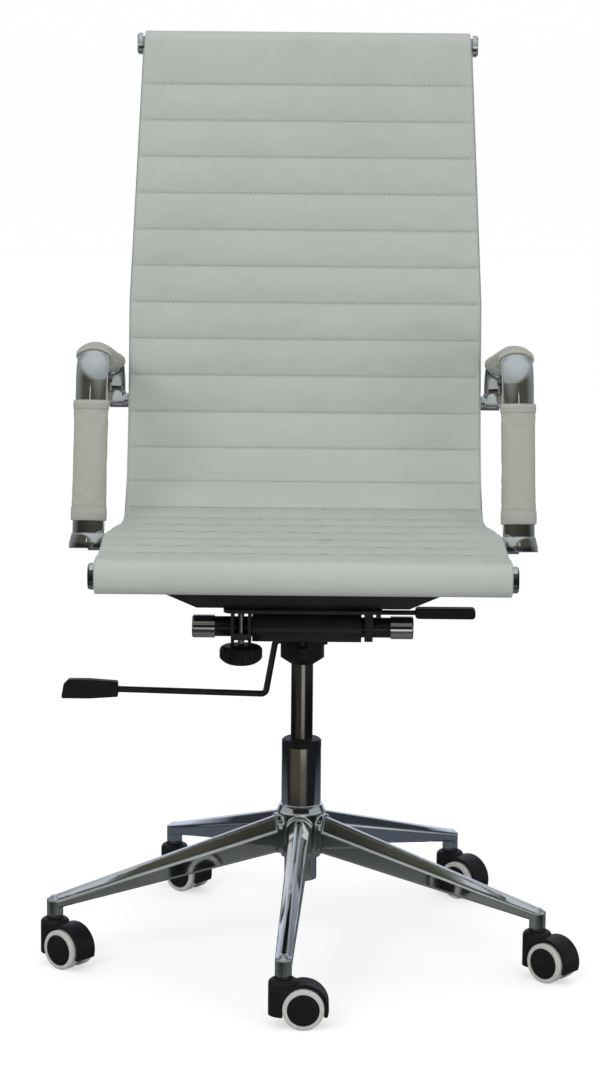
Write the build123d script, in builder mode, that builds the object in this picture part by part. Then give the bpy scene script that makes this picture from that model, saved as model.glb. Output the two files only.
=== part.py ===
from build123d import *
import os
from math import atan2, cos, degrees, pi, radians, sin, tan

# Swivel office chair: a ribbed sling on a bent frame, over a knee-tilt mechanism,
# a gas lift and a five-leg base on twin-wheel castors.
# Millimetres, Z up. The chair faces -Y and its origin is on the floor under the column.

# Clearances
running = 0.05  # radial, round a shaft that turns or slides
fixed_gap = 0.1  # between pieces that are fixed to each other
air = 0.3  # between curved faces that move past each other
weld = 1.0  # depth by which joined forms and cuts run into each other
spare = 60.0  # how far trimming shapes reach past the piece
hexagon = 6  # sides

# Castors
wheel_diameter = 50.0
wheel_width = 14.5
tread_depth = 5.5
tread_inset = 1.0
tread_round = 2.5
disc_crown = 0.6
rim_bevel = 1.5
castor_trail = 24.0
castor_web = 11.4
hood_width = 30.0
hood_thickness = 4.0
hood_gap = 1.5
hood_rise = 5.0
skirt_radius = 18.0
skirt_clearance = 15.0
skirt_round = 6.0
neck_radius = 11.0
neck_height = 1.5
stem_diameter = 11.0
stem_insertion = 22.0
stem_collar_diameter = 18.0
stem_collar = 1.2
axle_diameter = 6.0
wheel_side_gap = 0.7
wheel_cap = 2.6

# Five-leg base
leg_count = 5
near_leg_angle = -93.5
stem_circle = 317.0
near_castor_heading = 0.0
other_castor_heading = -40.0
stub_diameter = 20.5
stub_height = 26.0
leg_root_width = 26.0
leg_root_height = 45.0
leg_root_shoulder = 28.0
leg_root_rise = 2.0
leg_tip_height = 15.0
leg_tip_shoulder = 10.0
leg_ridge = 7.0
leg_edge = 1.5
leg_wall = 2.5
root_collar_margin = 3.0
root_collar_reach = 3.5
root_collar_arch = 10.5
hub_diameter = 61.0
hub_bottom = 127.0
hub_height = 53.0
hub_shoulder = 9.0
hub_top_diameter = 54.0
hub_collar_diameter = 50.0
hub_collar_height = 6.0

# Gas lift, drawn fully raised
column_diameter = 50.0
column_wall = 2.5
column_step = 1.4
column_foot_diameter = 41.0
column_foot_wall = 1.7
column_foot_drop = 30.0
column_exposed = 75.0
column_floor = 4.0
bush_flange = 9.0
bush_chamfer = 2.0
bush_length = 86.0
inner_tube_diameter = 28.0
inner_tube_wall = 3.0
inner_tube_rise = 2.0
inner_taper = 0.7
inner_taper_height = 31.0
inner_tube_overlap = 69.0
lift_stroke = 97.0
stop_gap = 1.0
rod_diameter = 10.0
rod_clip_width = 3.0
rod_clip_height = 2.2
rod_collar = 4.0
bearing_height = 6.0
bearing_diameter = 24.0
bearing_race = 2.0
bearing_groove = 1.5
piston_height = 8.0
gland_height = 7.0
release_pin_diameter = 6.0
release_pin_proud = 6.0
release_pin_length = 26.0
release_pin_chamfer = 1.5

# Knee-tilt mechanism
pivot_forward = 90.0
tilt_range = 14.0
pivot_tube_diameter = 25.0
pivot_tube_wall = 2.5
pivot_half_span = 136.0
pivot_bearing = 22.0
pivot_cap_wall = 1.7
pivot_cap_length = 28.0
pivot_cap_end = 5.0
pivot_cap_chamfer = 1.5
barrel_wall = 6.0
housing_left = 62.0
housing_right = 72.0
housing_rear = 45.0
housing_ease = 1.5  # the housing's top slopes this much less than the seat tilts
socket_wall = 5.0
socket_height = 31.0
well_gap = 1.5
bell_height = 46.4
bell_wall = 1.6
bell_lip = 2.0
bell_cone = 8.0
bell_gap = 1.0
bell_window_width = 11.0
bell_window_height = 9.0
bell_nub = 4.0
bell_nub_width = 8.0
torsion_bar_flats = 14.0
torsion_bar_inset = 5.0
plate_gap = 2.0
plate_thickness = 4.0
plate_half_width = 97.0
plate_front = 130.0
plate_rear = 72.0
plate_corner = 12.0
ear_thickness = 4.0
right_ear_thickness = 10.0
right_ear_gap = 4.0
ear_margin = 5.5
ear_foot = 61.0
bracket_width = 25.0
bridge_drop = 12.0
bridge_height = 8.0
bridge_depth = 14.0
side_gap = 1.0

# Levers and knob
lever_wire_diameter = 8.0
lever_bend = 6.5
lever_riser_gap = 3.0
lever_pivot_rise = 28.0
lever_slot_side = 0.7
lever_slot_height = 12.6
lever_slot_lift = 1.5
lever_reach = 232.0
lever_drop = 69.0
lever_end_rise = 5.0
lever_elbow_outer = 46.0
lever_elbow_inner = 34.0
lever_over_pin = 7.0
lever_grip_length = 72.0
lever_grip_height = 24.5
lever_grip_neck = 19.5
lever_grip_belly = 36.0
lever_grip_slant = 3.0
lever_grip_corner = 7.0
lever_grip_depth = 13.0
lever_grip_bore = 26.0
lever_grip_round = 2.5
lever_grip_edge = 1.8
knob_diameter = 53.0
knob_height = 23.0
knob_gap = 1.5
knob_neck_diameter = 26.0
knob_round = 6.0
knob_dome = 9.0
knob_face_diameter = 20.0
knob_flutes = 12
knob_flute_diameter = 9.0
knob_flute_depth = 2.0
knob_forward = 7.5
screw_diameter = 8.0
screw_inset = 6.0
screw_gap = 4.0
lock_rod_diameter = 6.0
lock_rod_rise = 6.5
lock_rod_gap = 1.5
lock_grip_start = 138.0
lock_grip_length = 74.0
lock_grip_height = 13.0
lock_grip_depth = 16.0
lock_grip_round = 4.3
lock_grip_chamfer = 1.2
lock_grip_bore = 25.0
hanger_width = 6.0
hanger_depth = 14.0
hanger_margin = 1.0

# Sling frame
member_width = 40.0
member_thickness = 6.0
member_rise = 42.5
member_flat = 130.0
member_flange = 16.0
member_flange_thickness = 3.0
front_member_y = -95.0
rear_member_y = 45.0
tab_margin = 4.0
rail_width = 12.0
rail_depth = 26.0
rail_proud = 1.5
rail_lap = 2.4
stretcher_diameter = 20.0
front_tube_diameter = 24.0
top_tube_diameter = 20.0
sling_tube_wall = 1.5
cap_thickness = 7.0
cap_bevel = 2.0
cap_bevel_angle = 40.0
front_cap_diameter = 32.0
top_cap_diameter = 28.6
cap_spigot = 15.0
bolt_diameter = 6.0
bolt_head_diameter = 10.0
bolt_head_height = 4.0
plate_bolt_spacing = 70.0
rail_bolt_depth = 14.0

# Sling, measured along its front surface
sling_thickness = 9.5
front_roll_y = -240.0
front_roll_radius = 21.0
top_roll_radius = 17.0
roll_slot_reach = 4.0
roll_slot_side = 2.0
seat_flat = 318.0
low_bend_radius = 85.0
low_bend_turn = 50.0
high_bend_radius = 260.0
high_bend_turn = 28.0
back_straight = 451.0
seat_half_width = 246.0
back_half_width = 228.0
top_half_width = 212.5
narrowing_start = -80.0
narrowing_end = 45.0
taper_start = 252.0
rib_count = 18
front_panel = 61.0
front_panel_crest = 36.6
top_panel = 54.0
top_panel_crest = 32.4
rib_crown = 3.5

# Arms
arm_lean = 12.4
arm_post = 248.0
arm_top = 204.0
arm_rear = 55.0
arm_bend = 38.0
arm_foot_y = -28.0
arm_foot_drop = 28.0
arm_front_stand_off = 22.0
arm_rear_stand_off = 26.0
arm_tube_width = 40.0
arm_tube_depth = 22.0
arm_tube_edge = 6.0
arm_tube_wall = 2.0
foot_height = 19.0
foot_rim = 6.0
foot_flare = 4.0
foot_lip = 1.0
foot_socket = 8.0
foot_boss_diameter = 19.0
foot_boss_height = 7.0
sleeve_thickness = 1.6
sleeve_hem_proud = 0.8
sleeve_hem = 11.0
post_sleeve_start = 34.5
post_sleeve_length = 150.0
post_sleeve_foot_hem = 17.0
top_sleeve_front_turn = 38.0
top_sleeve_rear_turn = 10.0

# Heights that follow from the stack, from the floor up
wheel_radius = wheel_diameter / 2
hood_radius = wheel_radius + hood_gap + hood_thickness
hood_top = wheel_radius + hood_radius + hood_rise
stub_bottom = hood_top + stem_collar + air
leg_tip_top = stub_bottom + stub_height
hub_radius = hub_diameter / 2
hub_top = hub_bottom + hub_height + hub_shoulder
leg_root_bottom = hub_bottom + leg_root_rise
column_bottom = hub_bottom - hub_collar_height - column_foot_drop
column_top = hub_top + column_exposed
bush_top = column_top + bush_flange
inner_tube_radius = inner_tube_diameter / 2
inner_tube_bottom = bush_top - inner_tube_overlap
bell_bottom = bush_top + lift_stroke + stop_gap
lever_pivot_z = bell_bottom + lever_pivot_rise
housing_bottom = bell_bottom + bell_height + fixed_gap
socket_bottom = housing_bottom - socket_height
inner_tube_top = housing_bottom + inner_tube_rise
barrel_radius = pivot_tube_diameter / 2 + barrel_wall
pivot_z = housing_bottom + barrel_radius
lock_z = pivot_z + pivot_tube_diameter / 2 + lock_rod_rise
plate_bottom = lock_z + lock_rod_diameter / 2 + plate_gap
plate_top = plate_bottom + plate_thickness
tab_z = plate_top + member_rise
rail_bottom = tab_z + member_thickness
seat_top = rail_bottom + rail_depth + sling_thickness
arm_foot_z = seat_top - arm_foot_drop

# The sling's side profile as runs of (length, turn in radians), from the front roll to the top roll
sling_runs = (
    (seat_flat, 0.0),
    (low_bend_radius * radians(low_bend_turn), radians(low_bend_turn)),
    (high_bend_radius * radians(high_bend_turn), radians(high_bend_turn)),
    (back_straight, 0.0),
)
sling_length = sum(length for length, turn in sling_runs)
rib_pitch = (sling_length - front_panel - top_panel) / rib_count


def sling_point(distance, depth):
    """Point (y, z) of the side profile, sunk by depth below the sling's front surface."""
    y, z, heading = front_roll_y, seat_top, 0.0
    for length, turn in sling_runs:
        step = min(max(distance, 0.0), length)
        distance -= step
        if turn:
            radius = length / turn
            angle = step / radius
            y += radius * (sin(heading + angle) - sin(heading))
            z += radius * (cos(heading) - cos(heading + angle))
            heading += angle
        else:
            y += step * cos(heading)
            z += step * sin(heading)
    return (y + depth * sin(heading), z - depth * cos(heading))


front_axis = sling_point(0, front_roll_radius)
top_axis = sling_point(sling_length, top_roll_radius)
top_z = top_axis[1] + top_roll_radius
back_taper = (back_half_width - top_half_width) / (top_z - seat_top - taper_start)
front_reach = 2 * (top_axis[0] - front_roll_y)
rail_top_depth = sling_thickness
rail_bottom_depth = sling_thickness + rail_depth


def clip_runs(runs, start, end):
    """Lists the pieces of runs between two distances as (low, high, turn)."""
    begin, pieces = 0.0, []
    for length, turn in runs:
        low, high = max(begin, start), min(begin + length, end)
        begin += length
        if high - low > running:
            pieces.append((low, high, turn))
    return pieces


def smooth_side(depth, start, end):
    """Adds lines and arcs that follow the side profile at one depth."""
    for low, high, turn in clip_runs(sling_runs, start, end):
        first, last = sling_point(low, depth), sling_point(high, depth)
        if turn:
            ThreePointArc(first, sling_point((low + high) / 2, depth), last)
        else:
            Line(first, last)


def ribbed_side():
    """Adds the front surface: a smooth panel at each end and crowned ribs between the seams."""
    seams = [front_panel + rib_pitch * i for i in range(rib_count + 1)]
    front_crest = sling_point(front_panel_crest, 0)
    ThreePointArc(sling_point(0, 0), front_crest, sling_point(seams[0], rib_crown))
    for low, high in zip(seams, seams[1:]):
        crest = sling_point((low + high) / 2, 0)
        ThreePointArc(sling_point(low, rib_crown), crest, sling_point(high, rib_crown))
    top_crest = sling_point(sling_length - top_panel_crest, 0)
    ThreePointArc(sling_point(seams[-1], rib_crown), top_crest, sling_point(sling_length, 0))


def plan_outline(grow):
    """Face seen from above: wide seat, drawn in towards the back, grown on both sides."""
    wide, narrow = seat_half_width + grow, back_half_width + grow
    middle = ((wide + narrow) / 2, (narrowing_start + narrowing_end) / 2)
    front_end, rear_end = front_roll_y - spare, top_axis[0] + spare
    with BuildLine() as outline:
        Polyline((0, front_end), (wide, front_end), (wide, narrowing_start))
        turn_in = TangentArc((wide, narrowing_start), middle, tangent=(0, 1))
        TangentArc(middle, (narrow, narrowing_end), tangent=turn_in % 1)
        Polyline((narrow, narrowing_end), (narrow, rear_end), (0, rear_end))
        mirror(about=Plane.YZ)
    make_face(outline.edges())


def half_width_at(height):
    """Half width of the tapered back at a height above the floor."""
    return back_half_width + back_taper * (seat_top + taper_start - height)


def elevation_outline(grow):
    """Face seen from the front: the back's straight taper, with the seat left free below."""
    low, high = seat_top + taper_start - spare, top_z + spare
    low_half = half_width_at(low) + grow
    high_half = half_width_at(high) + grow
    free = seat_half_width + spare
    with BuildLine() as outline:
        Polyline((0, 0), (free, 0), (free, low), (low_half, low), (high_half, high), (0, high))
        mirror(about=Plane.YZ)
    make_face(outline.edges())


def trim_to_outlines(grow):
    """Cuts the solid being built to the outlines seen from above and from the front."""
    with BuildSketch(Plane.XY) as plan:
        plan_outline(grow)
    extrude(plan.sketch, amount=top_z + spare, mode=Mode.INTERSECT)
    with BuildSketch(Plane.XZ) as elevation:
        elevation_outline(grow)
    extrude(elevation.sketch, amount=front_reach, both=True, mode=Mode.INTERSECT)


def spin(*corners):
    """Turns a closed outline of (radius, height) corners about the column axis."""
    with BuildSketch(Plane.XZ) as profile:
        with BuildLine():
            Polyline(*corners, close=True)
        make_face()
    revolve(profile.sketch, axis=Axis.Z)


def root_arch(width, height):
    """Face of a root collar: upright sides and a rounded top, its foot on the origin."""
    half, shoulder = width / 2, height - root_collar_arch
    with BuildLine() as outline:
        Polyline((-half, shoulder), (-half, 0), (half, 0), (half, shoulder))
        ThreePointArc((half, shoulder), (0, height), (-half, shoulder))
    make_face(outline.edges())


def leg_section(width, shoulder, height, ridge):
    """Face of a leg: upright sides, then a facet on each side up to a narrow flat ridge."""
    half = width / 2
    with BuildLine() as outline:
        Polyline(
            (-half, 0), (half, 0), (half, shoulder), (ridge / 2, height), (-ridge / 2, height),
            (-half, shoulder), close=True,
        )
    make_face(outline.edges())


def across(x, y=0.0, z=0.0):
    """Plane square to X, with its own x along Y and its own y upwards."""
    return Plane(origin=(x, y, z), x_dir=(0, 1, 0), z_dir=(1, 0, 0))


def save(name, shape):
    shape.label = name
    export_step(shape, f"parts/{name}.step")


os.makedirs("parts", exist_ok=True)


# Castor: stem on the origin, wheels trailing towards +X, axle along Y
axle_plane = across(castor_trail, 0, wheel_radius)
axle_line = Axis((castor_trail, 0, wheel_radius), (0, 1, 0))
wheel_inner = castor_web / 2 + wheel_side_gap
wheel_outer = wheel_inner + wheel_width
rim_radius = wheel_radius - tread_depth
axle_half = wheel_outer - wheel_cap - air
axle_hole = axle_diameter / 2 + running

with BuildPart() as castor_hood:
    shoulder = hood_top - neck_height
    side_top, round_in = shoulder - skirt_round, skirt_radius - skirt_round
    with BuildSketch(Plane.XZ):
        with BuildLine():
            Polyline((0, hood_top), (0, skirt_clearance), (skirt_radius, skirt_clearance))
            Line((skirt_radius, skirt_clearance), (skirt_radius, side_top))
            TangentArc((skirt_radius, side_top), (round_in, shoulder), tangent=(0, 1))
            Polyline((round_in, shoulder), (neck_radius, shoulder), (neck_radius, hood_top), (0, hood_top))
        make_face()
    revolve(axis=Axis.Z)
    with BuildSketch(Plane.XZ.offset(-hood_width / 2)):
        with Locations((castor_trail, wheel_radius)):
            Circle(hood_radius)
    extrude(amount=hood_width)
    with Locations((castor_trail, 0, skirt_clearance)):
        Box(
            2 * wheel_diameter, 2 * hood_width, wheel_diameter,
            align=(Align.CENTER, Align.CENTER, Align.MAX), mode=Mode.SUBTRACT,
        )
    for side in (1, -1):
        with BuildSketch(Plane.XZ.offset(side * castor_web / 2)):
            with Locations((castor_trail, wheel_radius)):
                Circle(hood_radius - hood_thickness)
        extrude(amount=side * skirt_radius, mode=Mode.SUBTRACT)
    with BuildSketch(Plane.XZ.offset(-hood_width)):
        with Locations((castor_trail, wheel_radius)):
            Circle(axle_hole)
    extrude(amount=2 * hood_width, mode=Mode.SUBTRACT)
    with Locations((0, 0, hood_top)):
        Hole(stem_diameter / 2 + running, depth=hood_top - wheel_radius - axle_diameter)

with BuildPart() as castor_pins:
    stem_foot = wheel_radius + axle_diameter + air
    stem_radius, stem_collar_radius = stem_diameter / 2, stem_collar_diameter / 2
    collar_bottom = hood_top + fixed_gap
    collar_top = collar_bottom + stem_collar
    spin(
        (0, stem_foot), (stem_radius, stem_foot), (stem_radius, collar_bottom),
        (stem_collar_radius, collar_bottom), (stem_collar_radius, collar_top), (stem_radius, collar_top),
        (stem_radius, stub_bottom + stem_insertion), (0, stub_bottom + stem_insertion),
    )
    with BuildSketch(Plane.XZ.offset(-axle_half)):
        with Locations((castor_trail, wheel_radius)):
            Circle(axle_diameter / 2)
    extrude(amount=2 * axle_half)

with BuildPart() as wheel_disc:
    disc_edge = wheel_outer - disc_crown
    with BuildSketch(axle_plane):
        with BuildLine():
            Polyline(
                (wheel_inner, axle_hole), (wheel_inner, rim_radius), (disc_edge - rim_bevel, rim_radius),
                (disc_edge, rim_radius - rim_bevel), (wheel_outer, 0), (wheel_outer - wheel_cap, 0),
                (wheel_outer - wheel_cap, axle_hole), close=True,
            )
        make_face()
    revolve(axis=axle_line)

with BuildPart() as wheel_tread:
    tread_inner, tread_outer = wheel_inner + tread_inset, wheel_outer - tread_inset
    round_start, round_end = tread_outer - tread_round, wheel_radius - tread_round
    with BuildSketch(axle_plane):
        with BuildLine():
            Polyline(
                (tread_outer, round_end), (tread_outer, rim_radius + running),
                (tread_inner, rim_radius + running), (tread_inner, wheel_radius),
                (round_start, wheel_radius),
            )
            TangentArc((round_start, wheel_radius), (tread_outer, round_end), tangent=(1, 0))
        make_face()
    revolve(axis=axle_line)

leg_angles = [near_leg_angle + 360 / leg_count * i for i in range(leg_count)]
for number, leg_angle in enumerate(leg_angles, start=1):
    heading = near_castor_heading if number == 1 else other_castor_heading
    stem = Pos(stem_circle * cos(radians(leg_angle)), stem_circle * sin(radians(leg_angle)), 0)
    place = stem * Rot(0, 0, heading)
    save(f"castor_hood_{number}", place * castor_hood.part)
    save(f"castor_pins_{number}", place * castor_pins.part)
    save(f"castor_wheel_left_{number}", place * wheel_disc.part)
    save(f"castor_tread_left_{number}", place * wheel_tread.part)
    save(f"castor_wheel_right_{number}", place * mirror(wheel_disc.part, about=Plane.XZ))
    save(f"castor_tread_right_{number}", place * mirror(wheel_tread.part, about=Plane.XZ))


# Base: hub with a root collar for each leg, and hollow faceted legs that end in castor stubs
taper_bottom = hub_bottom - hub_collar_height
taper_bottom_radius = column_foot_diameter / 2
taper_top_radius = column_diameter / 2 - column_step
root_face = hub_radius + root_collar_reach

with BuildPart() as base_hub:
    spin(
        (0, taper_bottom), (hub_collar_diameter / 2, taper_bottom), (hub_collar_diameter / 2, hub_bottom),
        (hub_radius, hub_bottom), (hub_radius, hub_bottom + hub_height), (hub_top_diameter / 2, hub_top),
        (0, hub_top),
    )
    for leg_angle in leg_angles:
        out = Vector(1, 0, 0).rotate(Axis.Z, leg_angle)
        sideways = Axis.Z.direction.cross(out)
        with BuildSketch(Plane(origin=(0, 0, leg_root_bottom), x_dir=sideways, z_dir=out)):
            root_arch(leg_root_width + 2 * root_collar_margin, leg_root_height + root_collar_margin)
        extrude(amount=root_face)
    with BuildSketch(Plane.XZ):
        with BuildLine():
            Polyline(
                (0, taper_bottom), (taper_bottom_radius + fixed_gap, taper_bottom),
                (taper_top_radius + fixed_gap, hub_top), (0, hub_top), close=True,
            )
        make_face()
    revolve(axis=Axis.Z, mode=Mode.SUBTRACT)
save("base_hub", base_hub.part)

leg_start = root_face + fixed_gap
leg_tip_bottom = leg_tip_top - leg_tip_height
hollow_end = stem_circle - stub_diameter / 2 - leg_wall


def along_leg(root, tip):
    """Size where the leg's hollow ends, from its sizes at the root and at the tip."""
    return root + (tip - root) * (hollow_end - leg_start) / (stem_circle - leg_start)


with BuildPart() as leg:
    with BuildSketch(across(leg_start, 0, leg_root_bottom)):
        leg_section(leg_root_width, leg_root_shoulder, leg_root_height, leg_ridge)
    with BuildSketch(across(stem_circle, 0, leg_tip_bottom)):
        leg_section(stub_diameter, leg_tip_shoulder, leg_tip_height, leg_ridge)
    loft(ruled=True)
    lengthwise = leg.edges().filter_by_position(Axis.X, root_face + weld, stem_circle - weld)
    chamfer(lengthwise.sort_by(Axis.Z)[2:], leg_edge)
    hollow_tip_bottom = along_leg(leg_root_bottom, leg_tip_bottom) - leg_wall
    hollow_tip_width = along_leg(leg_root_width, stub_diameter) - 2 * leg_wall
    hollow_tip_shoulder = along_leg(leg_root_shoulder, leg_tip_shoulder)
    hollow_tip_height = along_leg(leg_root_height, leg_tip_height)
    with BuildSketch(across(leg_start, 0, leg_root_bottom - leg_wall)):
        leg_section(
            leg_root_width - 2 * leg_wall, leg_root_shoulder, leg_root_height, leg_ridge - leg_wall
        )
    with BuildSketch(across(hollow_end, 0, hollow_tip_bottom)):
        leg_section(hollow_tip_width, hollow_tip_shoulder, hollow_tip_height, leg_ridge - leg_wall)
    loft(ruled=True, mode=Mode.SUBTRACT)
    stub_side = leg_tip_bottom + leg_tip_shoulder - stub_bottom
    with Locations((stem_circle, 0, stub_bottom)):
        Cylinder(stub_diameter / 2, stub_side, align=(Align.CENTER, Align.CENTER, Align.MIN))
    with Locations((stem_circle, 0, stub_bottom + stub_side)):
        Cone(
            stub_diameter / 2, leg_ridge / 2, leg_tip_height - leg_tip_shoulder,
            align=(Align.CENTER, Align.CENTER, Align.MIN),
        )
    with BuildSketch(Plane.XY.offset(stub_bottom)):
        with Locations((stem_circle, 0)):
            Circle(stem_diameter / 2 + running)
    extrude(amount=stem_insertion + stop_gap, mode=Mode.SUBTRACT)

with BuildPart() as base_legs:
    with PolarLocations(0, leg_count, start_angle=near_leg_angle):
        add(leg.part)
save("base_legs", base_legs.part)


# Gas lift: column tube wedged in the hub, bush, thrust bearing, rod, sliding inner tube, release pin
column_radius = column_diameter / 2
bush_radius = column_radius - column_wall
bush_bottom = column_top - bush_length
column_bore = taper_bottom_radius - column_foot_wall
floor_top = column_bottom + column_floor
rod_radius = rod_diameter / 2
rod_hole = rod_radius + fixed_gap
collar_foot = floor_top + bearing_height + fixed_gap
chamber_bottom = inner_tube_bottom + gland_height
chamber_radius = inner_tube_radius - inner_tube_wall
piston_bottom = chamber_bottom + stop_gap
piston_top = piston_bottom + piston_height

with BuildPart() as column_tube:
    spin(
        (rod_hole, column_bottom), (taper_bottom_radius, column_bottom),
        (taper_bottom_radius, taper_bottom), (taper_top_radius, hub_top + fixed_gap),
        (column_radius, hub_top + fixed_gap), (column_radius, column_top), (bush_radius, column_top),
        (bush_radius, bush_bottom), (column_bore, bush_bottom), (column_bore, floor_top),
        (rod_hole, floor_top),
    )
save("column_tube", column_tube.part)

with BuildPart() as column_bush:
    slide_bore = inner_tube_radius + running
    spin(
        (slide_bore, bush_bottom + fixed_gap), (bush_radius - running, bush_bottom + fixed_gap),
        (bush_radius - running, column_top), (column_radius, column_top),
        (column_radius, bush_top - bush_chamfer), (column_radius - bush_chamfer, bush_top),
        (slide_bore, bush_top),
    )
save("column_bush", column_bush.part)

with BuildPart() as thrust_bearing:
    race_radius = bearing_diameter / 2
    cage_radius = race_radius - bearing_groove
    cage_bottom, cage_top = floor_top + bearing_race, floor_top + bearing_height - bearing_race
    spin(
        (rod_hole, floor_top), (race_radius, floor_top), (race_radius, cage_bottom),
        (cage_radius, cage_bottom), (cage_radius, cage_top), (race_radius, cage_top),
        (race_radius, floor_top + bearing_height), (rod_hole, floor_top + bearing_height),
    )
save("thrust_bearing", thrust_bearing.part)

with BuildPart() as piston_rod:
    clip_radius, clip_top = rod_radius + rod_clip_width, column_bottom - air
    rod_collar_radius, rod_collar_top = rod_radius + rod_collar, collar_foot + rod_collar
    piston_radius = chamber_radius - fixed_gap
    spin(
        (0, clip_top - rod_clip_height), (clip_radius, clip_top - rod_clip_height),
        (clip_radius, clip_top), (rod_radius, clip_top), (rod_radius, collar_foot),
        (rod_collar_radius, collar_foot), (rod_collar_radius, rod_collar_top), (rod_radius, rod_collar_top),
        (rod_radius, piston_bottom), (piston_radius, piston_bottom), (piston_radius, piston_top),
        (0, piston_top),
    )
save("piston_rod", piston_rod.part)

pin_radius = release_pin_diameter / 2
pin_hole = pin_radius + running
pin_top = inner_tube_top + release_pin_proud
pin_bottom = pin_top - release_pin_length
pin_hole_bottom = pin_bottom - release_pin_proud
taper_foot = inner_tube_top - inner_taper_height
inner_top_radius = inner_tube_radius - inner_taper
chamber_top = piston_top + lift_stroke + 2 * stop_gap

with BuildPart() as gas_cylinder:
    spin(
        (rod_radius + running, inner_tube_bottom), (inner_tube_radius, inner_tube_bottom),
        (inner_tube_radius, taper_foot), (inner_top_radius, inner_tube_top), (pin_hole, inner_tube_top),
        (pin_hole, pin_hole_bottom), (0, pin_hole_bottom), (0, chamber_top), (chamber_radius, chamber_top),
        (chamber_radius, chamber_bottom), (rod_radius + running, chamber_bottom),
    )
save("gas_cylinder", gas_cylinder.part)

with BuildPart() as release_pin:
    spin(
        (0, pin_bottom), (pin_radius, pin_bottom), (pin_radius, pin_top - release_pin_chamfer),
        (pin_radius - release_pin_chamfer, pin_top), (0, pin_top),
    )
save("release_pin", release_pin.part)


# Tilt housing: barrel round the pivot, wedge-shaped arm and taper socket on the gas lift
pivot_y = -pivot_forward
pivot_radius = pivot_tube_diameter / 2
pivot_bore = pivot_radius + running
wire_radius = lever_wire_diameter / 2
riser_x = -(inner_tube_radius + lever_riser_gap + wire_radius)
wire_over_pin = pin_top + air + wire_radius
bell_radius = -riser_x + wire_radius + bell_gap + bell_wall
well_left = riser_x - wire_radius - well_gap
well_right = 2 * lever_over_pin

with BuildPart() as tilt_housing:
    slope = radians(tilt_range - housing_ease)
    crest = (pivot_y + barrel_radius * sin(slope), pivot_z + barrel_radius * cos(slope))
    rear_top = crest[1] - (housing_rear - crest[0]) * tan(slope)
    with BuildSketch(across(-housing_left)):
        with Locations((pivot_y, pivot_z)):
            Circle(barrel_radius)
        with BuildLine():
            Polyline(
                crest, (pivot_y, pivot_z), (pivot_y, housing_bottom), (housing_rear, housing_bottom),
                (housing_rear, rear_top), close=True,
            )
        make_face()
    extrude(amount=housing_left + housing_right)
    with BuildSketch(Plane.XY.offset(socket_bottom)):
        Circle(inner_tube_radius + socket_wall)
    extrude(amount=socket_height + weld)
    socket_mouth, socket_end = inner_tube_radius + running, inner_top_radius + running
    with BuildSketch(Plane.XZ):
        with BuildLine():
            Polyline(
                (0, socket_bottom), (socket_mouth, socket_bottom), (socket_mouth, taper_foot),
                (socket_end, inner_tube_top), (socket_end, inner_tube_top + air), (0, inner_tube_top + air),
                close=True,
            )
        make_face()
    revolve(axis=Axis.Z, mode=Mode.SUBTRACT)
    with Locations(((well_left + well_right) / 2, 0, socket_bottom)):
        Box(
            well_right - well_left, lever_wire_diameter + 2 * well_gap, 2 * barrel_radius + socket_height,
            align=(Align.CENTER, Align.CENTER, Align.MIN), mode=Mode.SUBTRACT,
        )
    for face, depth in ((-housing_left, pivot_bearing), (housing_right, -pivot_bearing)):
        with BuildSketch(across(face)):
            with Locations((pivot_y, pivot_z)):
                Circle(pivot_bore)
        extrude(amount=depth, mode=Mode.SUBTRACT)
    with BuildSketch(across(-housing_left)):
        with Locations((pivot_y, pivot_z)):
            RegularPolygon(torsion_bar_flats / 2 + running, hexagon, major_radius=False)
    extrude(amount=housing_left + housing_right, mode=Mode.SUBTRACT)
save("tilt_housing", tilt_housing.part)

with BuildPart() as torsion_bar:
    with BuildSketch(across(torsion_bar_inset - housing_left)):
        with Locations((pivot_y, pivot_z)):
            RegularPolygon(torsion_bar_flats / 2, hexagon, major_radius=False)
    extrude(amount=housing_left + housing_right - 2 * torsion_bar_inset)
save("torsion_bar", torsion_bar.part)

with BuildPart() as lever_bell:
    bell_top = housing_bottom - fixed_gap
    mouth = inner_tube_radius + bell_lip
    inside = bell_radius - bell_wall
    spin(
        (mouth, bell_bottom), (bell_radius, bell_bottom + bell_cone), (bell_radius, bell_top),
        (inside, bell_top), (inside, bell_bottom + bell_cone + bell_wall), (mouth, bell_bottom + bell_wall),
    )
    with Locations((0, -bell_radius, lever_pivot_z)):
        Box(bell_window_width, bell_radius, bell_window_height, mode=Mode.SUBTRACT)
    with Locations((-bell_radius, 0, lever_pivot_z + lever_slot_lift)):
        Box(
            bell_radius, lever_wire_diameter + 2 * lever_slot_side, lever_slot_height,
            mode=Mode.SUBTRACT,
        )
    with Locations((bell_radius - bell_wall / 2, 0, lever_pivot_z)):
        Box(
            bell_nub + bell_wall / 2, bell_nub_width, bell_nub_width,
            align=(Align.MIN, Align.CENTER, Align.CENTER),
        )
save("lever_bell", lever_bell.part)


# Lift lever: bent wire from the release pin out to a paddle
with BuildPart() as lift_lever_rod:
    elbow_z = lever_pivot_z - lever_drop
    with BuildLine(Plane.XZ) as wire_route:
        FilletPolyline(
            (lever_over_pin, wire_over_pin), (riser_x, wire_over_pin), (riser_x, lever_pivot_z),
            (-lever_elbow_inner, lever_pivot_z), (-lever_elbow_outer, elbow_z),
            (-lever_reach - lever_grip_bore, elbow_z + lever_end_rise), radius=lever_bend,
        )
    with BuildSketch(Plane(origin=wire_route.line @ 0, z_dir=wire_route.line % 0)):
        Circle(wire_radius)
    sweep()
save("lift_lever_rod", lift_lever_rod.part)

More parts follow.
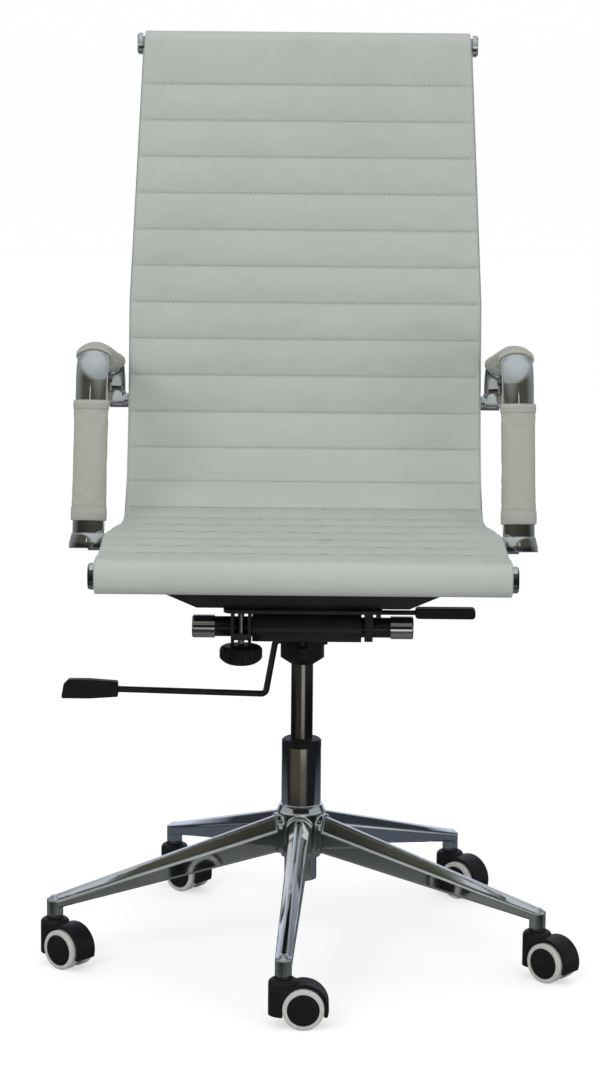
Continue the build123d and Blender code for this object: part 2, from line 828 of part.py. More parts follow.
with BuildPart() as lift_lever_grip:
    grip_right, grip_left = -lever_reach, -lever_reach - lever_grip_length
    grip_z = elbow_z + lever_end_rise
    grip_top, grip_foot = grip_z + lever_grip_height / 2, grip_z - lever_grip_height / 2
    nose = grip_left + lever_grip_slant
    with BuildSketch(Plane.XZ.offset(-lever_grip_depth / 2)) as paddle:
        with BuildLine():
            Polyline(
                (grip_right, grip_z + lever_grip_neck / 2), (grip_right, grip_z - lever_grip_neck / 2),
                (grip_left + lever_grip_belly, grip_foot), (grip_left, grip_foot),
                (nose, grip_top - lever_grip_corner), (nose + lever_grip_corner, grip_top),
                (grip_left + lever_grip_belly, grip_top), close=True,
            )
        make_face()
        fillet(paddle.vertices(), lever_grip_round)
    extrude(amount=lever_grip_depth)
    fillet(lift_lever_grip.edges().filter_by(Axis.Y, reverse=True), lever_grip_edge)
    with BuildSketch(Plane(origin=wire_route.line @ 1, z_dir=wire_route.line % 1)):
        Circle(wire_radius + running)
    extrude(amount=-2 * lever_grip_bore, mode=Mode.SUBTRACT)
save("lift_lever_grip", lift_lever_grip.part)


# Seat plate with the pivot ears, the tension bracket and the hanger of the lock rod
ear_radius = pivot_radius + ear_margin
ear_left_outer = -housing_left - side_gap - bracket_width
ear_left_inner = -housing_left - side_gap - ear_thickness
ear_right = housing_right + right_ear_gap
screw_x = (ear_left_outer + ear_left_inner + ear_thickness) / 2
screw_y = pivot_y - pivot_radius - knob_forward
bridge_bottom = pivot_z - bridge_drop
lock_hole = lock_rod_diameter / 2 + running
hanger_x = plate_half_width - hanger_width - hanger_margin
member_rows = (front_member_y, rear_member_y)
bolt_hole = bolt_diameter / 2 + fixed_gap


def ear(x, thickness, forward):
    """Upright ear from the plate round the pivot tube, wider in front where it carries the screw."""
    with BuildSketch(across(x)) as outline:
        with Locations((pivot_y, pivot_z)):
            Circle(ear_radius)
        with Locations((pivot_y, plate_bottom - weld / 2)):
            Rectangle(ear_foot, weld)
        if forward:
            with Locations((screw_y, bridge_bottom + bridge_height / 2)):
                Circle(bridge_height)
        make_hull()
        with Locations((pivot_y, pivot_z)):
            Circle(pivot_bore, mode=Mode.SUBTRACT)
    extrude(outline.sketch, amount=thickness)


with BuildPart() as seat_plate:
    with BuildSketch(Plane.XY.offset(plate_bottom)):
        with Locations((0, (plate_rear - plate_front) / 2)):
            RectangleRounded(2 * plate_half_width, plate_front + plate_rear, plate_corner)
    extrude(amount=plate_thickness)
    ear(ear_left_outer, ear_thickness, True)
    ear(ear_left_inner, ear_thickness, True)
    ear(ear_right, right_ear_thickness, False)
    with Locations((screw_x, screw_y, bridge_bottom)):
        Box(
            bracket_width - ear_thickness, bridge_depth, bridge_height,
            align=(Align.CENTER, Align.CENTER, Align.MIN),
        )
    with BuildSketch(Plane.XY.offset(bridge_bottom - weld)):
        with Locations((screw_x, screw_y)):
            Circle(screw_diameter / 2 + running)
    extrude(amount=bridge_height + 2 * weld, mode=Mode.SUBTRACT)
    hanger_bottom = lock_z - lock_rod_diameter
    with Locations((hanger_x + hanger_width / 2, pivot_y, hanger_bottom)):
        Box(
            hanger_width, hanger_depth, plate_bottom - hanger_bottom,
            align=(Align.CENTER, Align.CENTER, Align.MIN),
        )
    with BuildSketch(across(ear_right - weld)):
        with Locations((pivot_y, lock_z)):
            Circle(lock_hole)
    extrude(amount=plate_half_width - ear_right + 2 * weld, mode=Mode.SUBTRACT)
    with BuildSketch(Plane.XY.offset(plate_bottom)):
        for row in member_rows:
            with Locations((0, row)):
                with GridLocations(plate_bolt_spacing, 0, 2, 1):
                    Circle(bolt_hole)
    extrude(amount=plate_thickness, mode=Mode.SUBTRACT)
save("seat_plate", seat_plate.part)

with BuildPart() as pivot_tubes:
    for face, inner in ((-1, housing_left - pivot_bearing), (1, housing_right - pivot_bearing)):
        outer = pivot_half_span - pivot_cap_end
        with BuildSketch(across(face * (inner + side_gap))):
            with Locations((pivot_y, pivot_z)):
                Circle(pivot_radius)
                Circle(pivot_radius - pivot_tube_wall, mode=Mode.SUBTRACT)
        extrude(amount=face * (outer - inner - side_gap))
save("pivot_tubes", pivot_tubes.part)

with BuildPart() as pivot_caps:
    for face in (-1, 1):
        with BuildSketch(across(face * (pivot_half_span - pivot_cap_length))):
            with Locations((pivot_y, pivot_z)):
                Circle(pivot_bore + pivot_cap_wall)
        extrude(amount=face * pivot_cap_length)
    chamfer(pivot_caps.faces().sort_by(Axis.X)[0].edges(), pivot_cap_chamfer)
    chamfer(pivot_caps.faces().sort_by(Axis.X)[-1].edges(), pivot_cap_chamfer)
    bore_half = pivot_half_span - pivot_cap_end + fixed_gap
    with BuildSketch(across(-bore_half)):
        with Locations((pivot_y, pivot_z)):
            Circle(pivot_bore)
    extrude(amount=2 * bore_half, mode=Mode.SUBTRACT)
save("pivot_caps", pivot_caps.part)

knob_top = housing_bottom - knob_gap
knob_bottom = knob_top - knob_height
knob_plane = Plane(origin=(screw_x, screw_y, 0), x_dir=(1, 0, 0), z_dir=(0, -1, 0))
knob_axis = Axis((screw_x, screw_y, 0), (0, 0, 1))
screw_bottom = knob_bottom + screw_inset

with BuildPart() as tension_knob:
    knob_radius, knob_neck, knob_face = knob_diameter / 2, knob_neck_diameter / 2, knob_face_diameter / 2
    neck_top = pivot_z - ear_radius - air
    side_low, side_high = knob_bottom + knob_dome, knob_top - knob_round
    with BuildSketch(knob_plane):
        with BuildLine():
            Polyline((knob_face, knob_bottom), (0, knob_bottom), (0, neck_top), (knob_neck, neck_top))
            Polyline((knob_neck, neck_top), (knob_neck, knob_top), (knob_radius - knob_round, knob_top))
            TangentArc((knob_radius - knob_round, knob_top), (knob_radius, side_high), tangent=(1, 0))
            Line((knob_radius, side_high), (knob_radius, side_low))
            TangentArc((knob_face, knob_bottom), (knob_radius, side_low), tangent=(1, 0))
        make_face()
    revolve(axis=knob_axis)
    with BuildSketch(Plane(origin=(screw_x, screw_y, knob_bottom - weld))):
        with PolarLocations(knob_radius + knob_flute_diameter / 2 - knob_flute_depth, knob_flutes):
            Circle(knob_flute_diameter / 2)
    extrude(amount=knob_height + 2 * weld, mode=Mode.SUBTRACT)
    with BuildSketch(Plane(origin=(screw_x, screw_y, screw_bottom))):
        Circle(screw_diameter / 2 + running)
    extrude(amount=2 * knob_height, mode=Mode.SUBTRACT)
save("tension_knob", tension_knob.part)

with BuildPart() as tension_screw:
    with BuildSketch(Plane(origin=(screw_x, screw_y, screw_bottom + fixed_gap))):
        Circle(screw_diameter / 2)
    extrude(amount=plate_bottom - screw_gap - screw_bottom)
save("tension_screw", tension_screw.part)

with BuildPart() as tilt_lock_rod:
    with BuildSketch(across(housing_right + lock_rod_gap)):
        with Locations((pivot_y, lock_z)):
            Circle(lock_rod_diameter / 2)
    extrude(amount=lock_grip_start + lock_grip_bore - housing_right - lock_rod_gap)
save("tilt_lock_rod", tilt_lock_rod.part)

with BuildPart() as tilt_lock_grip:
    with BuildSketch(Plane.XZ.offset(-pivot_y - lock_grip_depth / 2)):
        with Locations((lock_grip_start + lock_grip_length / 2, lock_z)):
            RectangleRounded(lock_grip_length, lock_grip_height, lock_grip_round)
    extrude(amount=lock_grip_depth)
    chamfer(tilt_lock_grip.faces().filter_by(Axis.Y).edges(), lock_grip_chamfer)
    with BuildSketch(across(lock_grip_start - weld)):
        with Locations((pivot_y, lock_z)):
            Circle(lock_hole)
    extrude(amount=lock_grip_bore + weld + fixed_gap, mode=Mode.SUBTRACT)
save("tilt_lock_grip", tilt_lock_grip.part)


# Seat frame: bent cross members, side rails that follow the sling, stretcher, roll tubes and caps
rail_shift = rail_proud - rail_width
front_rail_start = front_tube_diameter / 2 - rail_lap
top_rail_end = sling_length - top_tube_diameter / 2 + rail_lap
seat_rail_in = seat_half_width + rail_shift
back_rail_in = back_half_width + rail_shift


def rail_middle(y):
    """Distance of a rail's centre from the middle of the seat, at a place along the seat."""
    wide, narrow = seat_half_width, back_half_width
    share = min(max((y - narrowing_start) / (narrowing_end - narrowing_start), 0), 1)
    drawn_in = 2 * share**2 if share < 0.5 else 1 - 2 * (1 - share) ** 2
    return wide - drawn_in * (wide - narrow) + rail_proud - rail_width / 2


with BuildPart() as seat_cross_members:
    for row in member_rows:
        tab_middle = rail_middle(row)
        tab_in, tab_out = tab_middle - rail_width, tab_middle + tab_margin
        right = ((member_flat, plate_top), (tab_in, tab_z), (tab_out, tab_z))
        left = [(-x, z) for x, z in reversed(right)]
        lower = [*left, *right]
        upper = [(x, z + member_thickness) for x, z in reversed(lower)]
        with BuildSketch(Plane.XZ.offset(-row - member_width / 2)):
            with BuildLine():
                Polyline(*lower, *upper, close=True)
            make_face()
        extrude(amount=member_width)
        # Flanges stand on the long edges, between the slanted ends
        flange_half = member_flat + member_flange * (tab_in - member_flat) / member_rise
        flange_z = plate_top + member_flange
        for edge in (row + member_width / 2, row - member_width / 2 + member_flange_thickness):
            with BuildSketch(Plane.XZ.offset(-edge)):
                with BuildLine():
                    Polyline(
                        (-member_flat, plate_top), (member_flat, plate_top), (flange_half, flange_z),
                        (-flange_half, flange_z), close=True,
                    )
                make_face()
            extrude(amount=member_flange_thickness)
        with BuildSketch(Plane.XY.offset(plate_top)):
            with Locations((0, row)):
                with GridLocations(plate_bolt_spacing, 0, 2, 1):
                    Circle(bolt_hole)
                with GridLocations(2 * tab_middle, 0, 2, 1):
                    Circle(bolt_hole)
        extrude(amount=member_rise + 2 * member_thickness, mode=Mode.SUBTRACT)
save("seat_cross_members", seat_cross_members.part)

with BuildPart() as between_rails:
    Box(2 * seat_half_width, front_reach, top_z + spare, align=(Align.CENTER, Align.CENTER, Align.MIN))
    trim_to_outlines(rail_shift)

with BuildPart() as side_rails:
    with BuildSketch(Plane.YZ):
        with BuildLine():
            smooth_side(rail_top_depth, front_rail_start, top_rail_end)
            smooth_side(rail_bottom_depth, front_rail_start, top_rail_end)
            for end in (front_rail_start, top_rail_end):
                Line(sling_point(end, rail_top_depth), sling_point(end, rail_bottom_depth))
        make_face()
        with Locations(front_axis):
            Circle(front_tube_diameter / 2 + fixed_gap, mode=Mode.SUBTRACT)
        with Locations(top_axis):
            Circle(top_tube_diameter / 2 + fixed_gap, mode=Mode.SUBTRACT)
    extrude(amount=seat_half_width + rail_proud, both=True)
    trim_to_outlines(rail_proud)
    add(between_rails.part, mode=Mode.SUBTRACT)
    for row in member_rows:
        with BuildSketch(Plane.XY.offset(rail_bottom - weld)):
            with Locations((0, row)):
                with GridLocations(2 * rail_middle(row), 0, 2, 1):
                    Circle(bolt_hole)
        extrude(amount=rail_bolt_depth + 2 * weld, mode=Mode.SUBTRACT)
save("side_rails", side_rails.part)

with BuildPart() as frame_bolts:
    head_z = plate_top + member_thickness
    for row in member_rows:
        for spacing, shank_z, shank, seat_z, head in (
            (plate_bolt_spacing, plate_bottom, head_z - plate_bottom, head_z, bolt_head_height),
            (2 * rail_middle(row), tab_z, member_thickness + rail_bolt_depth, tab_z, -bolt_head_height),
        ):
            with BuildSketch(Plane.XY.offset(shank_z)):
                with Locations((0, row)):
                    with GridLocations(spacing, 0, 2, 1):
                        Circle(bolt_diameter / 2)
            extrude(amount=shank)
            with BuildSketch(Plane.XY.offset(seat_z)):
                with Locations((0, row)):
                    with GridLocations(spacing, 0, 2, 1):
                        RegularPolygon(bolt_head_diameter / 2, hexagon)
            extrude(amount=head)
save("frame_bolts", frame_bolts.part)

stretcher_at = sling_point(sling_length - back_straight, (rail_top_depth + rail_bottom_depth) / 2)
with BuildPart() as back_stretcher:
    with BuildSketch(across(-back_rail_in)):
        with Locations(stretcher_at):
            Circle(stretcher_diameter / 2)
            Circle(stretcher_diameter / 2 - sling_tube_wall, mode=Mode.SUBTRACT)
    extrude(amount=2 * back_rail_in)
save("back_stretcher", back_stretcher.part)

front_tube_half = seat_half_width + rail_proud
top_tube_half = half_width_at(top_axis[1] - top_cap_diameter / 2) + rail_proud
rolls = (
    (front_axis, front_tube_diameter / 2, front_tube_half, front_cap_diameter / 2),
    (top_axis, top_tube_diameter / 2, top_tube_half, top_cap_diameter / 2),
)

with BuildPart() as sling_tubes:
    for axis_point, radius, half, cap_radius in rolls:
        with BuildSketch(across(-half)):
            with Locations(axis_point):
                Circle(radius)
                Circle(radius - sling_tube_wall, mode=Mode.SUBTRACT)
        extrude(amount=2 * half)
save("sling_tubes", sling_tubes.part)

with BuildPart() as tube_caps:
    cap_side = cap_thickness - cap_bevel
    for axis_point, radius, half, cap_radius in rolls:
        cap_start = half + fixed_gap
        for face in (-1, 1):
            with BuildSketch(across(face * cap_start)):
                with Locations(axis_point):
                    Circle(cap_radius)
            extrude(amount=face * cap_side)
            with BuildSketch(across(face * (cap_start + cap_side))):
                with Locations(axis_point):
                    Circle(cap_radius)
            extrude(amount=face * cap_bevel, taper=cap_bevel_angle)
            with BuildSketch(across(face * cap_start)):
                with Locations(axis_point):
                    Circle(radius - sling_tube_wall - fixed_gap)
            extrude(amount=-face * cap_spigot)
save("tube_caps", tube_caps.part)

with BuildPart() as sling_cover:
    with BuildSketch(Plane.YZ):
        with BuildLine():
            ribbed_side()
            smooth_side(sling_thickness - fixed_gap, 0, sling_length)
            for end in (0, sling_length):
                Line(sling_point(end, 0), sling_point(end, sling_thickness - fixed_gap))
        make_face()
        with Locations(front_axis):
            Circle(front_roll_radius)
            Circle(front_tube_diameter / 2 + fixed_gap, mode=Mode.SUBTRACT)
        with Locations(top_axis):
            Circle(top_roll_radius)
            Circle(top_tube_diameter / 2 + fixed_gap, mode=Mode.SUBTRACT)
    extrude(amount=seat_half_width, both=True)
    trim_to_outlines(0)
    # The rails run into slots in the two rolls, up to the tubes
    slot_top, slot_floor = rail_top_depth - fixed_gap, rail_bottom_depth + fixed_gap
    for start, end, inner in (
        (0, front_roll_radius + roll_slot_reach, seat_rail_in),
        (
            sling_length - top_roll_radius - roll_slot_reach, sling_length,
            top_tube_half - rail_width - roll_slot_side,
        ),
    ):
        with BuildSketch(Plane.YZ) as slot:
            with BuildLine():
                Polyline(
                    sling_point(start, slot_top), sling_point(end, slot_top), sling_point(end, slot_floor),
                    sling_point(start, slot_floor), close=True,
                )
            make_face()
        for face in (-1, 1):
            slot_face = slot.sketch.moved(Pos(face * (inner - fixed_gap), 0, 0))
            extrude(slot_face, amount=face * 2 * rail_width, mode=Mode.SUBTRACT)
save("sling_cover", sling_cover.part)


# Arms: leaning loops of flat oval tube, with leather sleeves and flared feet on the rails
arm_turn = arm_bend * pi / 2
arm_runs = (
    (arm_post - arm_bend, 0.0),
    (arm_turn, pi / 2),
    (arm_top - 2 * arm_bend, 0.0),
    (arm_turn, pi / 2),
    (arm_rear - arm_bend, 0.0),
)
loop_length = sum(length for length, turn in arm_runs)


def arm_place(distance):
    """Point and direction in the arm's upright plane, at a distance along the loop from its front foot."""
    x, z, heading = 0.0, arm_foot_z, radians(arm_lean)
    for length, turn in arm_runs:
        step = min(max(distance, 0.0), length)
        distance -= step
        if turn:
            angle = step / arm_bend
            x += arm_bend * (cos(heading) - cos(heading + angle))
            z += arm_bend * (sin(heading + angle) - sin(heading))
            heading += angle
        else:
            x += step * sin(heading)
            z += step * cos(heading)
    return Vector(x, z), Vector(sin(heading), cos(heading))


front_foot, arm_up = arm_place(0)
rear_foot = arm_place(loop_length)[0]
arm_front_x = seat_half_width + arm_front_stand_off
arm_rear_x = back_half_width + arm_rear_stand_off
arm_run = Vector(arm_rear_x - arm_front_x, rear_foot.X, 0).normalized()
arm_plane = Plane(
    origin=(arm_front_x, arm_foot_y, 0), x_dir=arm_run, z_dir=arm_run.cross(Vector(0, 0, 1))
)
tube_start = foot_height - foot_socket
tube_end = loop_length - tube_start


def on_arm(point, direction):
    """Plane square to the arm tube at a point of the loop, its own x across the tube's width."""
    away = arm_plane.from_local_coords(point + direction) - arm_plane.from_local_coords(point)
    return Plane(origin=arm_plane.from_local_coords(point), x_dir=arm_plane.z_dir, z_dir=away)


def arm_oval(grow):
    """Face of the arm's section, grown all round: two flat arcs joined by two tight ones."""
    half, deep = arm_tube_width / 2 + grow, arm_tube_depth / 2 + grow
    edge = arm_tube_edge + grow
    edge_centre = half - edge
    flat = (edge_centre**2 + deep**2 - edge**2) / (2 * (deep - edge))
    lean = atan2(edge_centre, flat - deep)
    x, y = flat * sin(lean), flat * cos(lean) - flat + deep
    with BuildLine() as outline:
        ThreePointArc((-x, y), (0, deep), (x, y))
        ThreePointArc((x, y), (half, 0), (x, -y))
        ThreePointArc((x, -y), (0, -deep), (-x, -y))
        ThreePointArc((-x, -y), (-half, 0), (-x, y))
    make_face(outline.edges())


def arm_stretch(grow, start, end, mode=Mode.ADD):
    """Adds or cuts the arm's oval, grown all round, between two distances along the loop."""
    for low, high, turn in clip_runs(arm_runs, start, end):
        point, direction = arm_place(low)
        with BuildSketch(on_arm(point, direction)) as section:
            arm_oval(grow)
        if turn:
            centre = point + Vector(direction.Y, -direction.X) * arm_bend
            bend_axis = Axis(arm_plane.from_local_coords(centre), -arm_plane.z_dir)
            turned = degrees((high - low) / arm_bend)
            revolve(section.sketch, axis=bend_axis, revolution_arc=turned, mode=mode)
        else:
            extrude(section.sketch, amount=high - low, mode=mode)


with BuildPart() as arm_tubes:
    arm_stretch(0, tube_start, tube_end)
    arm_stretch(-arm_tube_wall, tube_start - weld, tube_end + weld, Mode.SUBTRACT)
    mirror(about=Plane.YZ)
save("arm_tubes", arm_tubes.part)

with BuildPart() as arm_sleeves:
    post_sleeve_end = post_sleeve_start + post_sleeve_length
    front_turn_end = arm_post - arm_bend + arm_turn
    top_sleeve_start = front_turn_end - arm_bend * radians(top_sleeve_front_turn)
    top_sleeve_end = front_turn_end + arm_top - 2 * arm_bend + arm_bend * radians(top_sleeve_rear_turn)
    for start, end, first_hem in (
        (post_sleeve_start, post_sleeve_end, post_sleeve_foot_hem),
        (top_sleeve_start, top_sleeve_end, sleeve_hem),
    ):
        arm_stretch(sleeve_thickness, start, end)
        arm_stretch(sleeve_thickness + sleeve_hem_proud, start, start + first_hem)
        arm_stretch(sleeve_thickness + sleeve_hem_proud, end - sleeve_hem, end)
        arm_stretch(fixed_gap, start - weld, end + weld, Mode.SUBTRACT)
    mirror(about=Plane.YZ)
save("arm_sleeves", arm_sleeves.part)

with BuildPart() as arm_feet:
    for foot in (front_foot, rear_foot):
        rim_top = on_arm(foot + arm_up * foot_rim, arm_up)
        with BuildSketch(rim_top):
            arm_oval(foot_flare)
        extrude(amount=-foot_rim)
        with BuildSketch(rim_top):
            arm_oval(foot_flare)
        with BuildSketch(on_arm(foot + arm_up * foot_height, arm_up)):
            arm_oval(foot_lip)
        loft()
        boss_centre = arm_plane.from_local_coords(foot + arm_up * foot_boss_height)
        with BuildSketch(Plane(origin=boss_centre, z_dir=(-1, 0, 0))):
            Circle(foot_boss_diameter / 2)
        extrude(amount=spare)
        with BuildSketch(on_arm(foot + arm_up * tube_start, arm_up)):
            arm_oval(fixed_gap)
        extrude(amount=foot_height, mode=Mode.SUBTRACT)
    with BuildSketch(Plane.XY) as rail_side:
        plan_outline(rail_proud + fixed_gap)
    extrude(rail_side.sketch, amount=top_z, mode=Mode.SUBTRACT)
    mirror(about=Plane.YZ)
save("arm_feet", arm_feet.part)
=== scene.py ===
from math import atan2, cos, exp, pi, radians, sin

import bpy
import numpy as np
from mathutils import Matrix, Vector


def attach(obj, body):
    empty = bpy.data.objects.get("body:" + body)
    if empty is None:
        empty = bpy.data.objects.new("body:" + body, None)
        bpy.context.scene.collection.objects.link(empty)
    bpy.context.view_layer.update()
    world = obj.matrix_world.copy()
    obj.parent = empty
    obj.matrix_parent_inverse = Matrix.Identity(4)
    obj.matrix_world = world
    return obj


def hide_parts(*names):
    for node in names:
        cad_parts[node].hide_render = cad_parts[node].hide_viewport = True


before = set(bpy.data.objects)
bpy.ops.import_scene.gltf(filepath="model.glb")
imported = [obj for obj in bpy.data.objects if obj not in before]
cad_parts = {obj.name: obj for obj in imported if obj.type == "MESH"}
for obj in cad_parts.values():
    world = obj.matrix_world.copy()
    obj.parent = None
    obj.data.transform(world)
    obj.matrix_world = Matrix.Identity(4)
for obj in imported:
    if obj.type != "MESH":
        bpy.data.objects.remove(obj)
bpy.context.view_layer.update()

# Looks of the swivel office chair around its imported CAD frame. Metres, Z up, the chair faces -Y.

# Sling: the CAD model's side profile, measured along the front surface
SEAT_TOP = 0.548
FRONT_ROLL_Y = -0.240
FRONT_ROLL_RADIUS = 0.021
TOP_ROLL_RADIUS = 0.017
FRONT_TUBE_RADIUS = 0.012
TOP_TUBE_RADIUS = 0.010
THICKNESS = 0.0094
SEAT_FLAT = 0.318
LOW_BEND = (0.085, radians(50))
HIGH_BEND = (0.260, radians(28))
BACK_STRAIGHT = 0.451
FRONT_PANEL = 0.061
TOP_PANEL = 0.054
RIB_COUNT = 18
SEAT_HALF_WIDTH = 0.246
BACK_HALF_WIDTH = 0.228
TOP_HALF_WIDTH = 0.2125
NARROWING = (-0.080, 0.045)
TAPER_START = 0.252
RAIL_INSIDE = 0.0115
ROLL_WRAP = radians(298)
ROLL_TUCK = (radians(188), radians(212))
ROLL_FLARE = 0.0014
ROLL_EDGE = 0.0016
ROLL_CLEARANCE = 0.0001

# Sling: how it is sewn and filled
SEAM_SINK = 0.0040
CREST_SINK = 0.0014
BACK_SEAM_SINK = 0.0018
BACK_CREST_SINK = 0.0004
RIB_FLATNESS = 2.6
ROWS_PER_RIB = 14
ROW_STEP = 0.0036
EDGE_STEPS = 4
COLUMNS = 62
SEAM_FADE = 0.7
SEAM_LINE = 0.0026
SLING_PRESSURE = 4.0
SLING_SLACK = 0.004
SLING_SWELL = 0.0024
STITCH_PITCH = 0.0058
STITCH_LENGTH = 0.0041
STITCH_THICKNESS = 0.00075
STITCH_EDGE = 0.007
STITCH_LIFT = 0.0003

# Arms: the CAD model's loops, and the leather sleeves on them
ARM_LEAN = radians(12.4)
ARM_POST = 0.248
ARM_TOP = 0.204
ARM_REAR = 0.055
ARM_BEND = 0.038
ARM_FOOT = (-0.028, 0.520)
ARM_FRONT_X = 0.268
ARM_REAR_X = 0.254
TUBE_WIDTH = 0.040
TUBE_DEPTH = 0.022
TUBE_EDGE = 0.006
SLEEVE_THICKNESS = 0.0016
HEM_LENGTH = 0.011
HEM_PROUD = 0.0008
HEM_FOLD = 0.0012
HEM_LINE = 0.0012
HEM_CLEARANCE = 0.00015
HEM_CORNER = 0.0007
HEM_ROUND = 0.0009
HEM_CROWN = 0.0002
HEM_STITCH_ROW = 3
POST_SLEEVE = (0.0345, 0.150)
POST_FOOT_HEM = 0.017
TOP_SLEEVE_TURNS = (radians(38), radians(10))
SLEEVE_ROW_STEP = 0.0036
SLEEVE_RING = 72
SLEEVE_SEAM = 9
SLEEVE_HOLD = 0.002
SLEEVE_PRESSURE = 1.2
SLEEVE_SLACK = 0.006
SLEEVE_SWELL = 0.0006

# Camera and light
CAMERA_PLACE = (-0.0044, -4.165, 1.308)
CAMERA_PITCH = radians(10.5)
CAMERA_ROLL = radians(0.53)
CAMERA_LENS = 114.24
CAMERA_SENSOR = 36.0
CAMERA_REACH = 200
FLOOR_HALF = 70.0
FLOOR_TONE = 0.62
FLOOR_GLOW = 0.55
SKY_STRENGTH = 0.70
KEY_POWER = 26
FILL_POWER = 6.5
TOP_POWER = 9
DOME_RADIUS = 9.0
DOME_ROWS = 16
DOME_RING = 48
# Colours that glossy rays see on the floor and the dome in place of the white background: painted
# reflections of a dark studio.
REFLECTED_FLOOR_NEAR = (0.115, 0.130, 0.118)
REFLECTED_FLOOR_SLATE = (0.085, 0.10, 0.125)
REFLECTED_FLOOR_DARK = (0.012, 0.013, 0.015)
REFLECTED_FLOOR_FAR = (0.26, 0.28, 0.28)
REFLECTED_FLOOR_WARM = (0.075, 0.068, 0.046)
REFLECTED_FLOOR_LANE = (0.72, 0.72, 0.69)
REFLECTED_BACK_TONE = (0.66, 0.72, 0.86)
BACK_SPAN = (0.74, 0.86)
# Painted reflection colours of the dome, which only glossy rays see.
DOME_DARK = (0.010, 0.011, 0.013)
DOME_BAND = (0.85, 0.86, 0.86)
DOME_FRONT = (0.34, 0.38, 0.37)
DOME_SIDE = (0.035, 0.040, 0.050)
DOME_CEILING = (0.56, 0.60, 0.62)
# A dark screen that only glossy rays see: a painted reflection on the chrome.
SCREEN_RADIUS = 0.5
SCREEN_REACH = radians(115)
SCREEN_HEIGHTS = (0.40, 0.92)
SCREEN_LOW = (0.014, 0.015, 0.016)
SCREEN_HIGH = (0.075, 0.072, 0.054)
SCREEN_SIDE = (0.24, 0.26, 0.26)
# Glowing strips that only glossy rays see: a painted glint on each arm's bend.
STRIP_PLACES = (-0.345, 0.325)
STRIP_HALF = 0.010
STRIP_HEIGHTS = (0.765, 0.825)
STRIP_SETBACK = 0.95


# Materials


def put(tree, kind, sockets=None, **settings):
    """Adds a node, with values or links for its inputs."""
    made = tree.nodes.new(kind)
    for key, value in settings.items():
        setattr(made, key, value)
    for key, value in (sockets or {}).items():
        if isinstance(value, bpy.types.NodeSocket):
            tree.links.new(value, made.inputs[key])
        else:
            made.inputs[key].default_value = value
    return made


def math_node(tree, operation, first, second=0.0):
    """Adds one sum of one or two values."""
    return put(tree, "ShaderNodeMath", {0: first, 1: second}, operation=operation).outputs[0]


def new_finish(name, **sockets):
    """Starts a material and returns it with its tree, its shader and its Object coordinates."""
    material = bpy.data.materials.new(name)
    material.use_nodes = True
    tree = material.node_tree
    shader = tree.nodes["Principled BSDF"]
    for key, value in sockets.items():
        shader.inputs[key.replace("_", " ").title().replace("Ior", "IOR")].default_value = value
    place = tree.nodes.new("ShaderNodeTexCoord").outputs["Object"]
    return material, tree, shader, place


def noise(tree, place, scale, detail=2.0, roughness=0.5):
    """Adds soft noise, with its scale in waves per metre."""
    sockets = {"Vector": place, "Scale": scale, "Detail": detail, "Roughness": roughness}
    return put(tree, "ShaderNodeTexNoise", sockets).outputs["Fac"]


def ramp(tree, value, low, high, to_low=0.0, to_high=1.0):
    """Maps a value from one range to another."""
    sockets = {0: value, 1: low, 2: high, 3: to_low, 4: to_high}
    return put(tree, "ShaderNodeMapRange", sockets).outputs[0]


def blend_colour(tree, share, first, second):
    """Blends two colours, each a constant or the output of another node."""
    made = put(tree, "ShaderNodeMix", {"Factor": share}, data_type="RGBA")
    for socket, value in zip([s for s in made.inputs if s.type == "RGBA"], (first, second)):
        if isinstance(value, bpy.types.NodeSocket):
            tree.links.new(value, socket)
        else:
            socket.default_value = (*value, 1)
    return next(s for s in made.outputs if s.type == "RGBA")


def bump(tree, height, distance, strength, below=None):
    """Adds relief, on top of another relief where one is given."""
    sockets = {"Height": height, "Distance": distance, "Strength": strength}
    if below:
        sockets["Normal"] = below
    return put(tree, "ShaderNodeBump", sockets).outputs[0]


def leather_finish(name, tone, shade):
    """Smooth coated leather: pebbled grain, soft mottling, puckers and a darker line at the seams, which
    paints the shade in the grooves and some grime there.
    """
    material, tree, shader, place = new_finish(name, roughness=0.46, specular_ior_level=0.42)
    seam = put(tree, "ShaderNodeAttribute", attribute_name="seam").outputs["Fac"]
    cells = put(
        tree, "ShaderNodeTexVoronoi", {"Vector": place, "Scale": 780.0}, feature="DISTANCE_TO_EDGE"
    ).outputs["Distance"]
    mottle = noise(tree, place, 9.0, 4.0)
    worn = math_node(tree, "MULTIPLY", ramp(tree, mottle, 0.35, 0.7), 0.35)
    # Darker towards each seam and hem fold: painted shade in the grooves, with some grime.
    dark = math_node(tree, "MAXIMUM", worn, math_node(tree, "MULTIPLY", seam, 0.8))
    tree.links.new(blend_colour(tree, dark, tone, shade), shader.inputs["Base Color"])
    gloss = ramp(tree, noise(tree, place, 260.0, 3.0), 0.3, 0.7, 0.40, 0.52)
    tree.links.new(gloss, shader.inputs["Roughness"])
    across = put(tree, "ShaderNodeSeparateXYZ", {0: place}).outputs["X"]
    wave = math_node(tree, "SINE", math_node(tree, "MULTIPLY", across, 2 * pi / STITCH_PITCH))
    pucker = math_node(tree, "MULTIPLY", wave, seam)
    grained = bump(tree, ramp(tree, cells, 0.0, 0.25), 0.00016, 0.35)
    creased = bump(tree, noise(tree, place, 120.0, 5.0, 0.6), 0.0006, 0.18, grained)
    tree.links.new(bump(tree, pucker, 0.0005, 0.5, creased), shader.inputs["Normal"])
    return material


